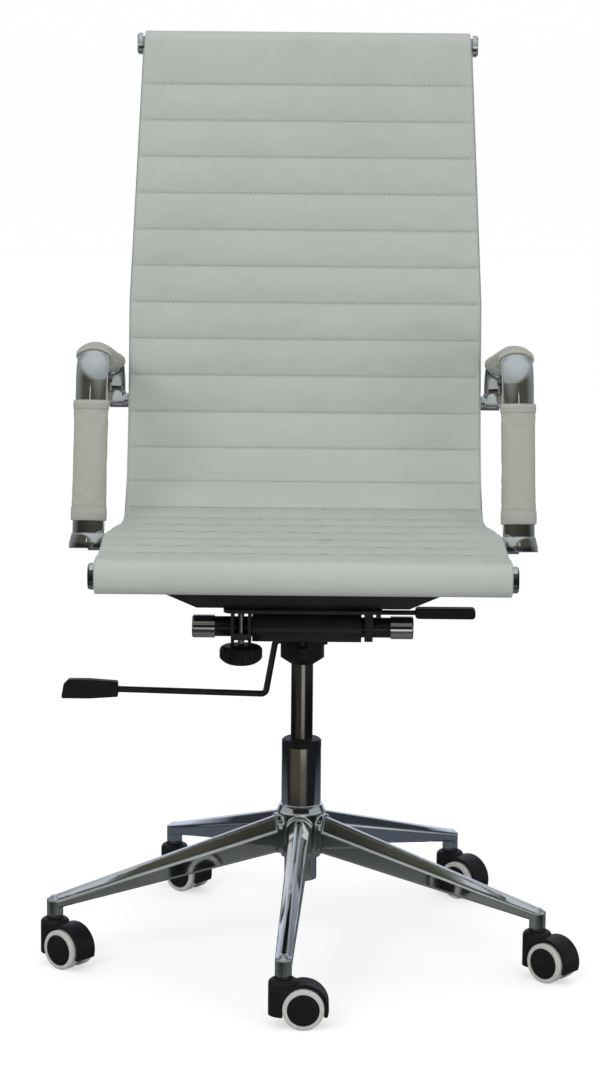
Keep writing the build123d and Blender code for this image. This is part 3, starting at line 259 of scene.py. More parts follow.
def metal_finish(name, tone, smudge, least, most, edge=0.0):
    """Plated metal: bright, with faint wiping marks, smudges that dull it and edges polished soft."""
    material, tree, shader, place = new_finish(name, metallic=1.0)
    cloud = noise(tree, place, 22.0, 5.0, 0.6)
    tree.links.new(
        blend_colour(tree, ramp(tree, cloud, 0.4, 0.75), tone, smudge), shader.inputs["Base Color"]
    )
    fine = noise(tree, place, 240.0, 3.0)
    dull = math_node(tree, "MULTIPLY", cloud, fine)
    tree.links.new(ramp(tree, dull, 0.12, 0.42, least, most), shader.inputs["Roughness"])
    if edge:
        soft = put(tree, "ShaderNodeBevel", {"Radius": edge}, samples=8)
        tree.links.new(soft.outputs["Normal"], shader.inputs["Normal"])
    return material


def coat_finish(name, tone, dust, least, most, grain, depth, specular):
    """Black paint or moulded plastic: fine surface texture, and a little dust where the noise is high."""
    material, tree, shader, place = new_finish(name, specular_ior_level=specular)
    cloud = noise(tree, place, 30.0, 5.0, 0.65)
    tree.links.new(
        blend_colour(tree, ramp(tree, cloud, 0.45, 0.8), tone, dust), shader.inputs["Base Color"]
    )
    fine = noise(tree, place, grain, 2.0)
    tree.links.new(ramp(tree, cloud, 0.3, 0.7, least, most), shader.inputs["Roughness"])
    tree.links.new(bump(tree, fine, depth, 0.5), shader.inputs["Normal"])
    return material


leather = leather_finish("sling_leather", (0.490, 0.519, 0.478), (0.407, 0.434, 0.398))
# The sleeves get a darker copy of the sling's leather: painted shade on the arms.
shaded_sleeve_leather = leather_finish("shaded_sleeve_leather", (0.430, 0.430, 0.385), (0.365, 0.362, 0.322))
# The thread is coloured darker than the leather: painted shade of the stitch holes.
thread = coat_finish(
    "seam_thread", (0.33, 0.34, 0.30), (0.27, 0.28, 0.25), 0.6, 0.75, 2600.0, 0.0001, 0.3
)
chrome = metal_finish("polished_chrome", (0.80, 0.81, 0.83), (0.74, 0.75, 0.76), 0.03, 0.09)
cast_chrome = metal_finish("cast_chrome", (0.80, 0.81, 0.83), (0.74, 0.75, 0.76), 0.03, 0.09, 0.004)
dark_chrome = metal_finish("smoked_chrome", (0.34, 0.335, 0.33), (0.27, 0.265, 0.26), 0.08, 0.18)
zinc = metal_finish("zinc_plate", (0.52, 0.52, 0.53), (0.40, 0.40, 0.41), 0.30, 0.45)
enamel = coat_finish(
    "satin_enamel", (0.010, 0.011, 0.012), (0.022, 0.023, 0.024), 0.30, 0.42, 700.0, 0.00008, 0.5
)
gloss_enamel = coat_finish(
    "gloss_enamel", (0.009, 0.0095, 0.010), (0.018, 0.018, 0.019), 0.18, 0.28, 500.0, 0.00004, 0.5
)
moulded = coat_finish(
    "moulded_nylon", (0.006, 0.0065, 0.007), (0.013, 0.0135, 0.014), 0.40, 0.54, 1500.0, 0.00012, 0.32
)
tread = coat_finish(
    "tread_urethane", (0.58, 0.58, 0.545), (0.50, 0.50, 0.465), 0.38, 0.52, 900.0, 0.00006, 0.45
)

NODE_FINISH = {
    "base_hub": cast_chrome,
    "base_legs": cast_chrome,
    "column_tube": chrome,
    "arm_tubes": chrome,
    "arm_feet": cast_chrome,
    "side_rails": chrome,
    "tube_caps": chrome,
    "pivot_caps": chrome,
    "back_stretcher": chrome,
    "gas_cylinder": dark_chrome,
    "lift_lever_rod": gloss_enamel,
    "pivot_tubes": gloss_enamel,
    "tilt_housing": enamel,
    "seat_plate": enamel,
    "seat_cross_members": enamel,
    "tilt_lock_rod": enamel,
    "column_bush": moulded,
    "lever_bell": moulded,
    "lift_lever_grip": moulded,
    "tension_knob": moulded,
    "tilt_lock_grip": moulded,
}
STEM_FINISH = {
    "castor_hood": moulded,
    "castor_wheel_left": moulded,
    "castor_wheel_right": moulded,
    "castor_tread_left": tread,
    "castor_tread_right": tread,
}
for name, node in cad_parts.items():
    finish = NODE_FINISH.get(name) or STEM_FINISH.get(name.rstrip("12345").rstrip("_")) or zinc
    for holder in node.material_slots:
        holder.material = finish


# Meshes


def mesh_piece(name, points, faces, material, body):
    """A smooth-shaded piece at the origin that rides on a body."""
    mesh = bpy.data.meshes.new(name)
    mesh.from_pydata([tuple(p) for p in points], [], faces)
    mesh.polygons.foreach_set("use_smooth", [True] * len(mesh.polygons))
    mesh.materials.append(material)
    mesh.validate()
    mesh.update()
    piece = bpy.data.objects.new(name, mesh)
    bpy.context.scene.collection.objects.link(piece)
    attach(piece, body)
    return piece


def ring_faces(rows, ring):
    """Quads between a row of rings, closed round each ring."""
    index = np.arange(rows * ring).reshape(rows, ring)
    after = np.roll(index, -1, axis=1)
    sides = np.stack([index[:-1], after[:-1], after[1:], index[1:]], axis=-1).reshape(-1, 4)
    return sides.tolist()


def float_attribute(piece, name, values):
    """Stores a value on every point of a piece, for its material."""
    holder = piece.data.attributes.new(name, "FLOAT", "POINT")
    holder.data.foreach_set("value", np.asarray(values, dtype=np.float32))


def swell(piece, pinned, pressure, slack, limit, frames=20):
    """Lets cloth under pressure fill out between pinned points, and moves no point past the limit."""
    rest = np.empty(len(piece.data.vertices) * 3, dtype=np.float32)
    piece.data.vertices.foreach_get("co", rest)
    rest = rest.reshape(-1, 3)
    held = piece.vertex_groups.new(name="held")
    for weight in np.unique(pinned):
        held.add(np.flatnonzero(pinned == weight).tolist(), float(weight), "REPLACE")
    cloth = piece.modifiers.new("fill", "CLOTH")
    setup = cloth.settings
    setup.quality = 5
    setup.mass = 0.3
    setup.tension_stiffness = 15
    setup.compression_stiffness = 15
    setup.shear_stiffness = 8
    setup.bending_stiffness = 0.6
    setup.use_pressure = True
    setup.uniform_pressure_force = pressure
    setup.shrink_min = -slack
    setup.shrink_max = -slack
    setup.vertex_group_mass = "held"
    setup.effector_weights.gravity = 0
    cloth.collision_settings.use_collision = False
    scene = bpy.context.scene
    cloth.point_cache.frame_start = 1
    cloth.point_cache.frame_end = frames
    for number in range(1, frames + 1):
        scene.frame_set(number)
        bpy.context.view_layer.update()
    shown = piece.evaluated_get(bpy.context.evaluated_depsgraph_get())
    moved = np.empty(len(rest) * 3, dtype=np.float32)
    shown.data.vertices.foreach_get("co", moved)
    step = moved.reshape(-1, 3) - rest
    length = np.linalg.norm(step, axis=1, keepdims=True)
    step *= np.minimum(1.0, limit / np.maximum(length, 1e-9))
    piece.modifiers.remove(cloth)
    piece.vertex_groups.clear()
    scene.frame_set(1)
    piece.data.vertices.foreach_set("co", (rest + step).ravel())
    piece.data.update()
    return rest + step


# Sling

SLING_RUNS = (
    (SEAT_FLAT, 0.0),
    (LOW_BEND[0] * LOW_BEND[1], LOW_BEND[1]),
    (HIGH_BEND[0] * HIGH_BEND[1], HIGH_BEND[1]),
    (BACK_STRAIGHT, 0.0),
)
SLING_LENGTH = sum(length for length, turn in SLING_RUNS)
BACK_HEADING = sum(turn for length, turn in SLING_RUNS)
RIB_PITCH = (SLING_LENGTH - FRONT_PANEL - TOP_PANEL) / RIB_COUNT
SEAMS = [FRONT_PANEL + RIB_PITCH * i for i in range(RIB_COUNT + 1)]


def along_sling(distance):
    """Place (y, z) and heading on the front surface, also round the front and top rolls."""
    if distance < 0:
        heading = -distance / FRONT_ROLL_RADIUS
        axis = (FRONT_ROLL_Y, SEAT_TOP - FRONT_ROLL_RADIUS)
        return (
            axis[0] - FRONT_ROLL_RADIUS * sin(heading),
            axis[1] + FRONT_ROLL_RADIUS * cos(heading),
            heading,
        )
    y, z, heading = FRONT_ROLL_Y, SEAT_TOP, 0.0
    left = distance
    for length, turn in SLING_RUNS:
        step = min(left, length)
        left -= step
        if turn:
            radius = length / turn
            y += radius * (sin(heading + step / radius) - sin(heading))
            z += radius * (cos(heading) - cos(heading + step / radius))
            heading += step / radius
        else:
            y += step * cos(heading)
            z += step * sin(heading)
    if left > 0:
        axis = (y + TOP_ROLL_RADIUS * sin(heading), z - TOP_ROLL_RADIUS * cos(heading))
        heading -= left / TOP_ROLL_RADIUS
        y, z = axis[0] - TOP_ROLL_RADIUS * sin(heading), axis[1] + TOP_ROLL_RADIUS * cos(heading)
    return y, z, heading


TOP_AXIS = along_sling(SLING_LENGTH)
TOP_Z = TOP_AXIS[1] - TOP_ROLL_RADIUS * cos(BACK_HEADING) + TOP_ROLL_RADIUS
BACK_TAPER = (BACK_HALF_WIDTH - TOP_HALF_WIDTH) / (TOP_Z - SEAT_TOP - TAPER_START)


def ease(share):
    """Two tangent parabolas from 0 to 1."""
    share = min(max(share, 0.0), 1.0)
    return 2 * share**2 if share < 0.5 else 1 - 2 * (1 - share) ** 2


def sling_half_width(distance, y, z):
    """Half width of the sling; the wrapped ends are drawn in between the rails."""
    drawn = ease((y - NARROWING[0]) / (NARROWING[1] - NARROWING[0]))
    width = SEAT_HALF_WIDTH - drawn * (SEAT_HALF_WIDTH - BACK_HALF_WIDTH)
    width -= BACK_TAPER * max(0.0, z - SEAT_TOP - TAPER_START)
    if distance < 0:
        wrapped = -distance / FRONT_ROLL_RADIUS
    else:
        wrapped = (distance - SLING_LENGTH) / TOP_ROLL_RADIUS
    flare = ROLL_FLARE * ease(1 - max(distance, 0.0) / FRONT_PANEL)
    return width + flare - RAIL_INSIDE * ease((wrapped - ROLL_TUCK[0]) / (ROLL_TUCK[1] - ROLL_TUCK[0]))


def sling_rows():
    """Distances of the mesh rows, with a row on every seam."""
    front_wrap = np.arange(-ROLL_WRAP * FRONT_ROLL_RADIUS, -0.5 * ROW_STEP, ROW_STEP)
    panels = np.linspace(0, SEAMS[0], round(FRONT_PANEL / ROW_STEP), endpoint=False)
    ribs = np.linspace(SEAMS[0], SEAMS[-1], RIB_COUNT * ROWS_PER_RIB, endpoint=False)
    top = np.linspace(SEAMS[-1], SLING_LENGTH, round(TOP_PANEL / ROW_STEP), endpoint=False)
    wrap_steps = round(ROLL_WRAP * TOP_ROLL_RADIUS / ROW_STEP)
    top_wrap = np.linspace(0, ROLL_WRAP * TOP_ROLL_RADIUS, wrap_steps) + SLING_LENGTH
    return np.concatenate([front_wrap, panels, ribs, top, top_wrap])


def seam_depth(distance, crest, seam):
    """Sink of the surface: least at a rib's crest, most at its seams, and fading out past the end panels."""
    if SEAMS[0] <= distance <= SEAMS[-1]:
        share = (distance - SEAMS[0]) / RIB_PITCH % 1.0
        bowl = abs(2 * share - 1) ** RIB_FLATNESS
    else:
        gone = SEAMS[0] - distance if distance < SEAMS[0] else distance - SEAMS[-1]
        bowl = max(0.0, 1 - gone / (SEAM_FADE * RIB_PITCH)) ** RIB_FLATNESS
    return crest + (seam - crest) * bowl


def build_sling():
    """The padded band in one closed mesh; returns the lines that its stitches follow."""
    distances = sling_rows()
    points, pinned, seam_near = [], [], []
    for distance in distances:
        y, z, heading = along_sling(distance)
        half = sling_half_width(distance, y, z)
        wrapped = max(0.0, -distance / FRONT_ROLL_RADIUS, (distance - SLING_LENGTH) / TOP_ROLL_RADIUS)
        if distance < SLING_LENGTH / 2:
            roll = FRONT_ROLL_RADIUS - FRONT_TUBE_RADIUS - ROLL_CLEARANCE
            share = ease(1 - max(distance, 0.0) / FRONT_PANEL)
        else:
            roll = TOP_ROLL_RADIUS - TOP_TUBE_RADIUS - ROLL_CLEARANCE
            share = ease(1 - max(SLING_LENGTH - distance, 0.0) / TOP_PANEL)
        thick = THICKNESS + share * (roll - THICKNESS)
        fade = 1 - share
        front = seam_depth(distance, CREST_SINK * fade, SEAM_SINK)
        back = thick - seam_depth(distance, BACK_CREST_SINK * fade, BACK_SEAM_SINK)
        gap = min(abs(distance - seam) for seam in SEAMS)
        middle, edge = (front + back) / 2, (back - front) / 2
        round_off = edge + share * (ROLL_EDGE - edge)
        turns = [pi / 2 * (1 - i / EDGE_STEPS) for i in range(EDGE_STEPS)]
        flat = np.linspace(-1, 1, COLUMNS + 1) * (half - round_off)
        left = [(-half + round_off * (1 - sin(turn)), middle - edge * cos(turn)) for turn in turns]
        right = [(-x, depth) for x, depth in reversed(left)]
        over = left + [(x, front) for x in flat] + right
        under = [(x, 2 * middle - depth) for x, depth in reversed(over)][1:-1]
        for x, depth in over + under:
            points.append((x, y + depth * sin(heading), z - depth * cos(heading)))
            free = wrapped == 0 and gap > 0.4 * ROW_STEP and abs(x) < half - 1.2 * edge
            pinned.append(0.0 if free else 1.0)
            seam_near.append(exp(-((gap / SEAM_LINE) ** 2)) if wrapped == 0 else 0.0)
    ring = 2 * (COLUMNS + 1 + 2 * EDGE_STEPS) - 2
    rows = len(distances)
    faces = ring_faces(rows, ring)
    side = ring // 2 + 1
    for start, turned in ((0, True), ((rows - 1) * ring, False)):
        for i in range(side - 1):
            quad = [start + i, start + i + 1, start + (ring - i - 1) % ring, start + (ring - i) % ring]
            quad = list(dict.fromkeys(quad))
            faces.append(quad[::-1] if turned else quad)
    piece = mesh_piece("ribbed_sling", points, faces, leather, "seat")
    float_attribute(piece, "seam", seam_near)
    settled = np.array(points)
    settled = swell(piece, np.array(pinned), SLING_PRESSURE, SLING_SLACK, SLING_SWELL)
    settled = settled.reshape(rows, ring, 3)
    seam_rows = [int(np.argmin(np.abs(distances - seam))) for seam in SEAMS]
    lines = []
    for row in seam_rows:
        y, z, heading = along_sling(distances[row])
        outward = np.array((0, -sin(heading), cos(heading)))
        line = settled[row, EDGE_STEPS : EDGE_STEPS + COLUMNS + 1] + outward * STITCH_LIFT
        across = np.abs(line[:, 0])
        lines.append(line[across < across.max() - STITCH_EDGE])
    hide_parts("sling_cover")
    return lines


# Stitches


def stitch_tree():
    """Geometry Nodes: rounded stitches at a pitch along every line of a mesh of edges."""
    tree = bpy.data.node_groups.new("stitch_rows", "GeometryNodeTree")
    face = tree.interface
    face.new_socket("Geometry", in_out="INPUT", socket_type="NodeSocketGeometry")
    sizes = {"Pitch": STITCH_PITCH, "Length": STITCH_LENGTH, "Thickness": STITCH_THICKNESS}
    for label, value in sizes.items():
        face.new_socket(label, in_out="INPUT", socket_type="NodeSocketFloat").default_value = value
    face.new_socket("Thread", in_out="INPUT", socket_type="NodeSocketMaterial")
    face.new_socket("Geometry", in_out="OUTPUT", socket_type="NodeSocketGeometry")
    given = put(tree, "NodeGroupInput")
    curves = put(tree, "GeometryNodeMeshToCurve", {0: given.outputs["Geometry"]})
    spots = put(
        tree, "GeometryNodeCurveToPoints",
        {"Curve": curves.outputs[0], "Length": given.outputs["Pitch"]}, mode="LENGTH",
    )
    bead = put(tree, "GeometryNodeMeshUVSphere", {"Segments": 6, "Rings": 5, "Radius": 0.5})
    shape = put(
        tree, "ShaderNodeCombineXYZ",
        {0: given.outputs["Thickness"], 1: given.outputs["Thickness"], 2: given.outputs["Length"]},
    )
    rows = put(
        tree, "GeometryNodeInstanceOnPoints",
        {
            "Points": spots.outputs["Points"], "Instance": bead.outputs["Mesh"],
            "Rotation": spots.outputs["Rotation"], "Scale": shape.outputs[0],
        },
    )
    real = put(tree, "GeometryNodeRealizeInstances", {0: rows.outputs[0]})
    smooth = put(tree, "GeometryNodeSetShadeSmooth", {0: real.outputs[0]})
    sewn = put(
        tree, "GeometryNodeSetMaterial",
        {"Geometry": smooth.outputs[0], "Material": given.outputs["Thread"]},
    )
    put(tree, "NodeGroupOutput", {0: sewn.outputs[0]})
    return tree


def sew(name, lines, tree, body):
    """Makes one plain mesh of the stitches along the given lines."""
    points, edges = [], []
    for line in lines:
        edges += [(len(points) + i, len(points) + i + 1) for i in range(len(line) - 1)]
        points += [tuple(p) for p in line]
    guide = bpy.data.meshes.new(name + "_guide")
    guide.from_pydata(points, edges, [])
    holder = bpy.data.objects.new(name, guide)
    bpy.context.scene.collection.objects.link(holder)
    sewing = holder.modifiers.new("sewing", "NODES")
    sewing.node_group = tree
    for socket in tree.interface.items_tree:
        if socket.in_out == "INPUT" and socket.name == "Thread":
            sewing[socket.identifier] = thread
    made = bpy.data.meshes.new_from_object(holder.evaluated_get(bpy.context.evaluated_depsgraph_get()))
    holder.modifiers.remove(sewing)
    holder.data = made
    made.name = name
    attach(holder, body)


# Sleeves

ARM_RUNS = (
    (ARM_POST - ARM_BEND, 0.0),
    (ARM_BEND * pi / 2, pi / 2),
    (ARM_TOP - 2 * ARM_BEND, 0.0),
    (ARM_BEND * pi / 2, pi / 2),
    (ARM_REAR - ARM_BEND, 0.0),
)
LOOP_LENGTH = sum(length for length, turn in ARM_RUNS)
FRONT_TURN_END = ARM_POST - ARM_BEND + ARM_BEND * pi / 2


def along_arm(distance):
    """Place (forward, up) and heading in the arm's upright plane, from the front foot."""
    forward, height, heading = 0.0, ARM_FOOT[1], ARM_LEAN
    for length, turn in ARM_RUNS:
        step = min(distance, length)
        distance -= step
        if turn:
            angle = step / ARM_BEND
            forward += ARM_BEND * (cos(heading) - cos(heading + angle))
            height += ARM_BEND * (sin(heading + angle) - sin(heading))
            heading += angle
        else:
            forward += step * sin(heading)
            height += step * cos(heading)
    return forward, height, heading


ARM_RUN = Vector((ARM_REAR_X - ARM_FRONT_X, along_arm(LOOP_LENGTH)[0], 0)).normalized()


def tube_ring():
    """Points round the arm tube's oval and their outward directions, and the distance round it."""
    deep, edge = TUBE_DEPTH / 2, TUBE_EDGE
    centre = TUBE_WIDTH / 2 - edge
    flat = (centre**2 + deep**2 - edge**2) / (2 * (deep - edge))
    lean = atan2(centre, flat - deep)
    arcs = (
        (flat, (0, deep - flat), pi / 2 + lean, 2 * lean),
        (edge, (centre, 0), pi / 2 - lean, pi - 2 * lean),
        (flat, (0, flat - deep), lean - pi / 2, 2 * lean),
        (edge, (-centre, 0), -pi / 2 - lean, pi - 2 * lean),
    )
    around = sum(radius * sweep for radius, middle, start, sweep in arcs)
    ring = []
    for i in range(SLEEVE_RING):
        left = around * i / SLEEVE_RING
        for radius, middle, start, sweep in arcs:
            if left <= radius * sweep:
                angle = start - left / radius
                out = (cos(angle), sin(angle))
                ring.append((middle[0] + radius * out[0], middle[1] + radius * out[1], *out))
                break
            left -= radius * sweep
    return ring, around


def hem_profile(length):
    """(position, lift) of a folded hem, from the sleeve's open end inwards."""
    hem = SLEEVE_THICKNESS + HEM_PROUD
    return [
        (0.0, HEM_CLEARANCE), (0.0, 0.7 * hem), (HEM_CORNER, hem), (length / 2, hem + HEM_CROWN),
        (length - HEM_ROUND, hem), (length, 0.55 * (hem + SLEEVE_THICKNESS)),
        (length + 0.5 * HEM_FOLD, 0.8 * SLEEVE_THICKNESS),
    ]


def build_sleeve(name, mirrored, start, end, first_hem):
    """Leather wrapped round the oval tube, with a folded hem at each end and one sewn seam."""
    side = -1 if mirrored else 1
    wide = ARM_RUN.cross(Vector((0, 0, 1)))
    ring, around = tube_ring()
    first = [(start + p, lift) for p, lift in hem_profile(first_hem)]
    last = [(end - p, lift) for p, lift in reversed(hem_profile(HEM_LENGTH))]
    low, high = start + first_hem + HEM_FOLD, end - HEM_LENGTH - HEM_FOLD
    middles = np.linspace(low, high, round((high - low) / SLEEVE_ROW_STEP))
    profile = first + [(p, SLEEVE_THICKNESS) for p in middles] + last
    points, pinned, seam_near = [], [], []
    for position, lift in profile:
        forward, height, heading = along_arm(position)
        axis = ARM_RUN * sin(heading) + Vector((0, 0, cos(heading)))
        deep = axis.cross(wide)
        origin = Vector((ARM_FRONT_X, ARM_FOOT[0], 0)) + ARM_RUN * forward + Vector((0, 0, height))
        fold = min(abs(position - start - first_hem), abs(end - HEM_LENGTH - position))
        inside = low + SLEEVE_HOLD < position < high - SLEEVE_HOLD
        for i, (x, z, out_x, out_z) in enumerate(ring):
            spot = origin + wide * (x + lift * out_x) + deep * (z + lift * out_z)
            points.append((side * spot.x, spot.y, spot.z))
            pinned.append(0.0 if inside and i != SLEEVE_SEAM else 1.0)
            seam_near.append(exp(-((fold / HEM_LINE) ** 2)))
    faces = ring_faces(len(profile), SLEEVE_RING)
    end_row = (len(profile) - 1) * SLEEVE_RING
    after = [(i + 1) % SLEEVE_RING for i in range(SLEEVE_RING)]
    faces += [[i, end_row + i, end_row + after[i], after[i]] for i in range(SLEEVE_RING)]
    if not mirrored:
        faces = [face[::-1] for face in faces]
    piece = mesh_piece(name, points, faces, shaded_sleeve_leather, "seat")
    float_attribute(piece, "seam", seam_near)
    points = swell(piece, np.array(pinned), SLEEVE_PRESSURE, SLEEVE_SLACK, SLEEVE_SWELL)
    rows = np.array(points).reshape(len(profile), SLEEVE_RING, 3)
    lines = [rows[len(first):-len(last), SLEEVE_SEAM]]
    for row in (HEM_STITCH_ROW, -1 - HEM_STITCH_ROW):
        lines.append(np.concatenate([rows[row], rows[row][:1]]))
    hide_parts("arm_sleeves")
    return lines


seam_lines = build_sling()
stitching = stitch_tree()
sew("sling_stitches", seam_lines, stitching, "seat")

top_start = FRONT_TURN_END - ARM_BEND * TOP_SLEEVE_TURNS[0]
top_end = FRONT_TURN_END + ARM_TOP - 2 * ARM_BEND + ARM_BEND * TOP_SLEEVE_TURNS[1]
sleeve_lines = []
for mirrored, word in ((True, "left"), (False, "right")):
    sleeve_lines += build_sleeve(
        f"post_sleeve_{word}", mirrored, POST_SLEEVE[0], sum(POST_SLEEVE), POST_FOOT_HEM
    )
    sleeve_lines += build_sleeve(f"top_sleeve_{word}", mirrored, top_start, top_end, HEM_LENGTH)
sew("sleeve_stitches", sleeve_lines, stitching, "seat")


# Stage


def stage_mesh(name, points, faces, material):
    """A piece of the studio, which isn't part of the chair."""
    mesh = bpy.data.meshes.new(name)
    mesh.from_pydata(points, [], faces)
    mesh.materials.append(material)
    made = bpy.data.objects.new(name, mesh)
    bpy.context.scene.collection.objects.link(made)
    return made


def plain_share(tree):
    """1 for rays that should see the plain white background: the camera's and refracted ones."""
    rays = put(tree, "ShaderNodeLightPath").outputs
    return math_node(tree, "MAXIMUM", rays["Is Camera Ray"], rays["Is Transmission Ray"])


def facing(tree, place, degrees_right):
    """Cosine of the angle between a place on the stage and a direction, in plan, from the front."""
    flat = put(tree, "ShaderNodeVectorMath", {0: place, 1: (1, 1, 0)}, operation="MULTIPLY").outputs[0]
    unit = put(tree, "ShaderNodeVectorMath", {0: flat}, operation="NORMALIZE").outputs[0]
    toward = (sin(radians(degrees_right)), -cos(radians(degrees_right)), 0)
    return put(tree, "ShaderNodeVectorMath", {0: unit, 1: toward}, operation="DOT_PRODUCT").outputs["Value"]


def floor_finish():
    """Pale floor that keeps the shadow; glossy rays see a painted reflection instead: a dark studio floor
    with a bright lane.
    """
    material, tree, shader, place = new_finish("studio_floor", roughness=0.9, specular_ior_level=0.1)
    shader.inputs["Base Color"].default_value = (*[FLOOR_TONE] * 3, 1)
    shader.inputs["Emission Color"].default_value = (1, 1, 1, 1)
    glow = math_node(tree, "MULTIPLY", plain_share(tree), FLOOR_GLOW)
    tree.links.new(glow, shader.inputs["Emission Strength"])
    # From here on, the colour that glossy rays see: a painted reflection, slate and dark near the chair, a
    # warm patch, a bright lane, lighter far off and bluish behind.
    reach = put(tree, "ShaderNodeVectorMath", {0: place}, operation="LENGTH").outputs["Value"]
    ahead = facing(tree, place, 0)
    near = blend_colour(tree, ramp(tree, ahead, -0.1, 0.3), REFLECTED_FLOOR_SLATE, REFLECTED_FLOOR_NEAR)
    edge = math_node(tree, "ADD", reach, ramp(tree, ahead, -0.1, 0.4, -0.42, 0.0))
    tone = blend_colour(tree, ramp(tree, edge, 0.34, 0.60), near, REFLECTED_FLOOR_DARK)
    tone = blend_colour(tree, ramp(tree, reach, 1.5, 2.6), tone, REFLECTED_FLOOR_FAR)
    warm = ramp(tree, facing(tree, place, -18), 0.55, 0.80)
    warm = math_node(tree, "MULTIPLY", warm, ramp(tree, reach, 0.65, 0.85))
    tone = blend_colour(tree, warm, tone, REFLECTED_FLOOR_WARM)
    lane = ramp(tree, facing(tree, place, 12), 0.93, 0.985)
    lane = math_node(tree, "MULTIPLY", lane, ramp(tree, reach, 0.95, 1.45, 0.06, 1.0))
    tone = blend_colour(tree, lane, tone, REFLECTED_FLOOR_LANE)
    behind = ramp(tree, facing(tree, place, 180), *BACK_SPAN)
    behind = math_node(tree, "MULTIPLY", behind, ramp(tree, reach, 0.8, 2.2))
    tone = blend_colour(tree, behind, tone, REFLECTED_BACK_TONE)
    mirrored = put(tree, "ShaderNodeEmission", {"Color": tone, "Strength": 1.0})
    glossy = put(tree, "ShaderNodeLightPath").outputs["Is Glossy Ray"]
    mixed = put(
        tree, "ShaderNodeMixShader",
        {0: glossy, 1: shader.outputs[0], 2: mirrored.outputs[0]},
    )
    tree.links.new(mixed.outputs[0], tree.nodes["Material Output"].inputs["Surface"])
    return material


def glow_finish(name):
    """Starts a material that only shines."""
    material, tree, shader, place = new_finish(name, roughness=1.0, specular_ior_level=0.0)
    shader.inputs["Base Color"].default_value = (0, 0, 0, 1)
    shader.inputs["Emission Strength"].default_value = 1.0
    return material, tree, shader.inputs["Emission Color"], place


def dome_finish():
    """Studio round the chair, which only reflections see: a painted reflection, bright behind, grey in front
    over a low band.
    """
    material, tree, colour, place = glow_finish("reflection_dome")
    height = math_node(
        tree, "DIVIDE", put(tree, "ShaderNodeSeparateXYZ", {0: place}).outputs["Z"], DOME_RADIUS
    )
    front = blend_colour(tree, ramp(tree, height, 0.08, 0.12), DOME_BAND, DOME_FRONT)
    front = blend_colour(tree, ramp(tree, facing(tree, place, 0), -0.5, -0.3), DOME_SIDE, front)
    back = blend_colour(tree, ramp(tree, height, 0.35, 0.95), REFLECTED_BACK_TONE, DOME_DARK)
    behind = ramp(tree, facing(tree, place, 180), *BACK_SPAN)
    ceiling = ramp(tree, height, 0.45, 0.95)
    tone = blend_colour(tree, ceiling, blend_colour(tree, behind, front, back), DOME_CEILING)
    tree.links.new(tone, colour)
    return material


def screen_finish():
    """Dark sheet that only reflections see: a painted reflection, warmer higher up and grey beside the
    chair, which fades into the dome at its top.
    """
    material, tree, colour, place = glow_finish("reflection_screen")
    height = put(tree, "ShaderNodeSeparateXYZ", {0: place}).outputs["Z"]
    tone = blend_colour(tree, ramp(tree, height, 0.56, 0.70), SCREEN_LOW, SCREEN_HIGH)
    tone = blend_colour(tree, ramp(tree, facing(tree, place, 0), 0.0, 0.3), SCREEN_SIDE, tone)
    top = SCREEN_HEIGHTS[1]
    tone = blend_colour(tree, ramp(tree, height, top - 0.08, top), tone, DOME_FRONT)
    tree.links.new(tone, colour)
    return material


def strip_finish():
    """Plain white glow that only reflections see: a painted glint on each arm's bend."""
    material, _, colour, _ = glow_finish("glint_strip")
    colour.default_value = (1, 1, 1, 1)
    return material


def reflected_only(made):
    """Hides a stage piece from all but glossy rays."""
    made.visible_camera = False
    made.visible_diffuse = False
    made.visible_shadow = False
    made.visible_transmission = False
    made.visible_volume_scatter = False


def build_dome():
    """A half sphere that stands on the floor."""
    points = []
    for row in range(DOME_ROWS + 1):
        rise = pi / 2 * 0.999 * row / DOME_ROWS
        for i in range(DOME_RING):
            turn = 2 * pi * i / DOME_RING
            flat = DOME_RADIUS * cos(rise)
            points.append((flat * cos(turn), flat * sin(turn), DOME_RADIUS * sin(rise)))
    faces = ring_faces(DOME_ROWS + 1, DOME_RING)
    faces.append(list(range(DOME_ROWS * DOME_RING, (DOME_ROWS + 1) * DOME_RING)))
    reflected_only(stage_mesh("reflection_dome", points, faces, dome_finish()))


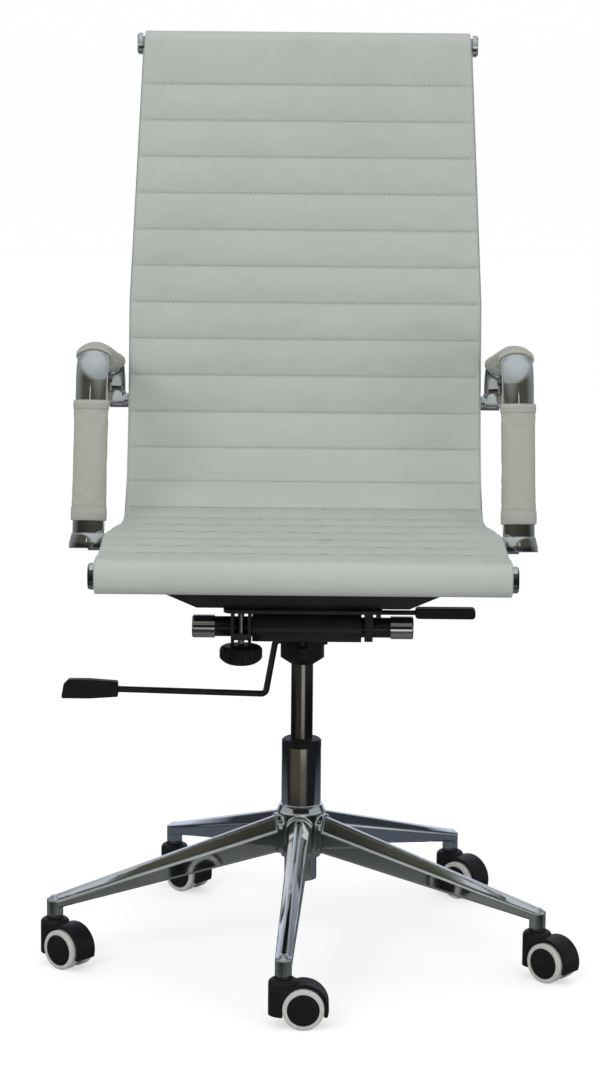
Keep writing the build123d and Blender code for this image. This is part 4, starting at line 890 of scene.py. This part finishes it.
def build_screen():
    """A curved dark screen in front of the chair and beside it, and a glowing strip before each arm; only
    reflections see them, as painted reflection and painted glint.
    """
    turns = np.linspace(-SCREEN_REACH, SCREEN_REACH, DOME_RING)
    points = [
        (SCREEN_RADIUS * sin(turn), -SCREEN_RADIUS * cos(turn), z) for z in SCREEN_HEIGHTS for turn in turns
    ]
    faces = [[i, i + 1, DOME_RING + i + 1, DOME_RING + i] for i in range(DOME_RING - 1)]
    reflected_only(stage_mesh("reflection_screen", points, faces, screen_finish()))
    points, faces = [], []
    for x in STRIP_PLACES:
        faces.append([len(points) + i for i in range(4)])
        left, right, (low, high) = x - STRIP_HALF, x + STRIP_HALF, STRIP_HEIGHTS
        y = -STRIP_SETBACK * (SCREEN_RADIUS**2 - x**2) ** 0.5
        points += [(left, y, low), (right, y, low), (right, y, high), (left, y, high)]
    reflected_only(stage_mesh("glint_strip", points, faces, strip_finish()))


half = FLOOR_HALF
stage_mesh(
    "studio_floor", [(-half, -half, 0), (half, -half, 0), (half, half, 0), (-half, half, 0)], [(0, 1, 2, 3)],
    floor_finish(),
)
build_dome()
build_screen()

world = bpy.data.worlds.new("studio")
bpy.context.scene.world = world
world.use_nodes = True
sky = world.node_tree
sky.nodes["Background"].inputs["Color"].default_value = (1, 1, 1, 1)
strength = ramp(sky, plain_share(sky), 0.0, 1.0, SKY_STRENGTH, 1.0)
sky.links.new(strength, sky.nodes["Background"].inputs["Strength"])


def lamp(name, place, target, size, power):
    """A large soft light, which reflections don't show."""
    light = bpy.data.lights.new(name, "AREA")
    light.shape = "RECTANGLE"
    light.size, light.size_y = size
    light.energy = power
    made = bpy.data.objects.new(name, light)
    made.location = place
    made.rotation_euler = (Vector(target) - Vector(place)).to_track_quat("-Z", "Y").to_euler()
    made.visible_glossy = False
    bpy.context.scene.collection.objects.link(made)


lamp("key_light", (-1.6, -2.6, 2.3), (0, 0, 0.5), (1.4, 1.4), KEY_POWER)
lamp("fill_light", (1.3, -1.7, 0.75), (0, 0, 0.5), (0.9, 0.9), FILL_POWER)
lamp("top_light", (0, 0.2, 3.2), (0, 0, 0.5), (1.6, 1.6), TOP_POWER)

camera = bpy.data.objects.new("camera", bpy.data.cameras.new("camera"))
camera.data.lens = CAMERA_LENS
camera.data.sensor_width = CAMERA_SENSOR
camera.data.clip_end = CAMERA_REACH
camera.matrix_world = (
    Matrix.Translation(CAMERA_PLACE)
    @ Matrix.Rotation(pi / 2 - CAMERA_PITCH, 4, "X")
    @ Matrix.Rotation(CAMERA_ROLL, 4, "Z")
)
bpy.context.scene.collection.objects.link(camera)
bpy.context.scene.camera = camera
bpy.context.scene.view_settings.view_transform = "Standard"
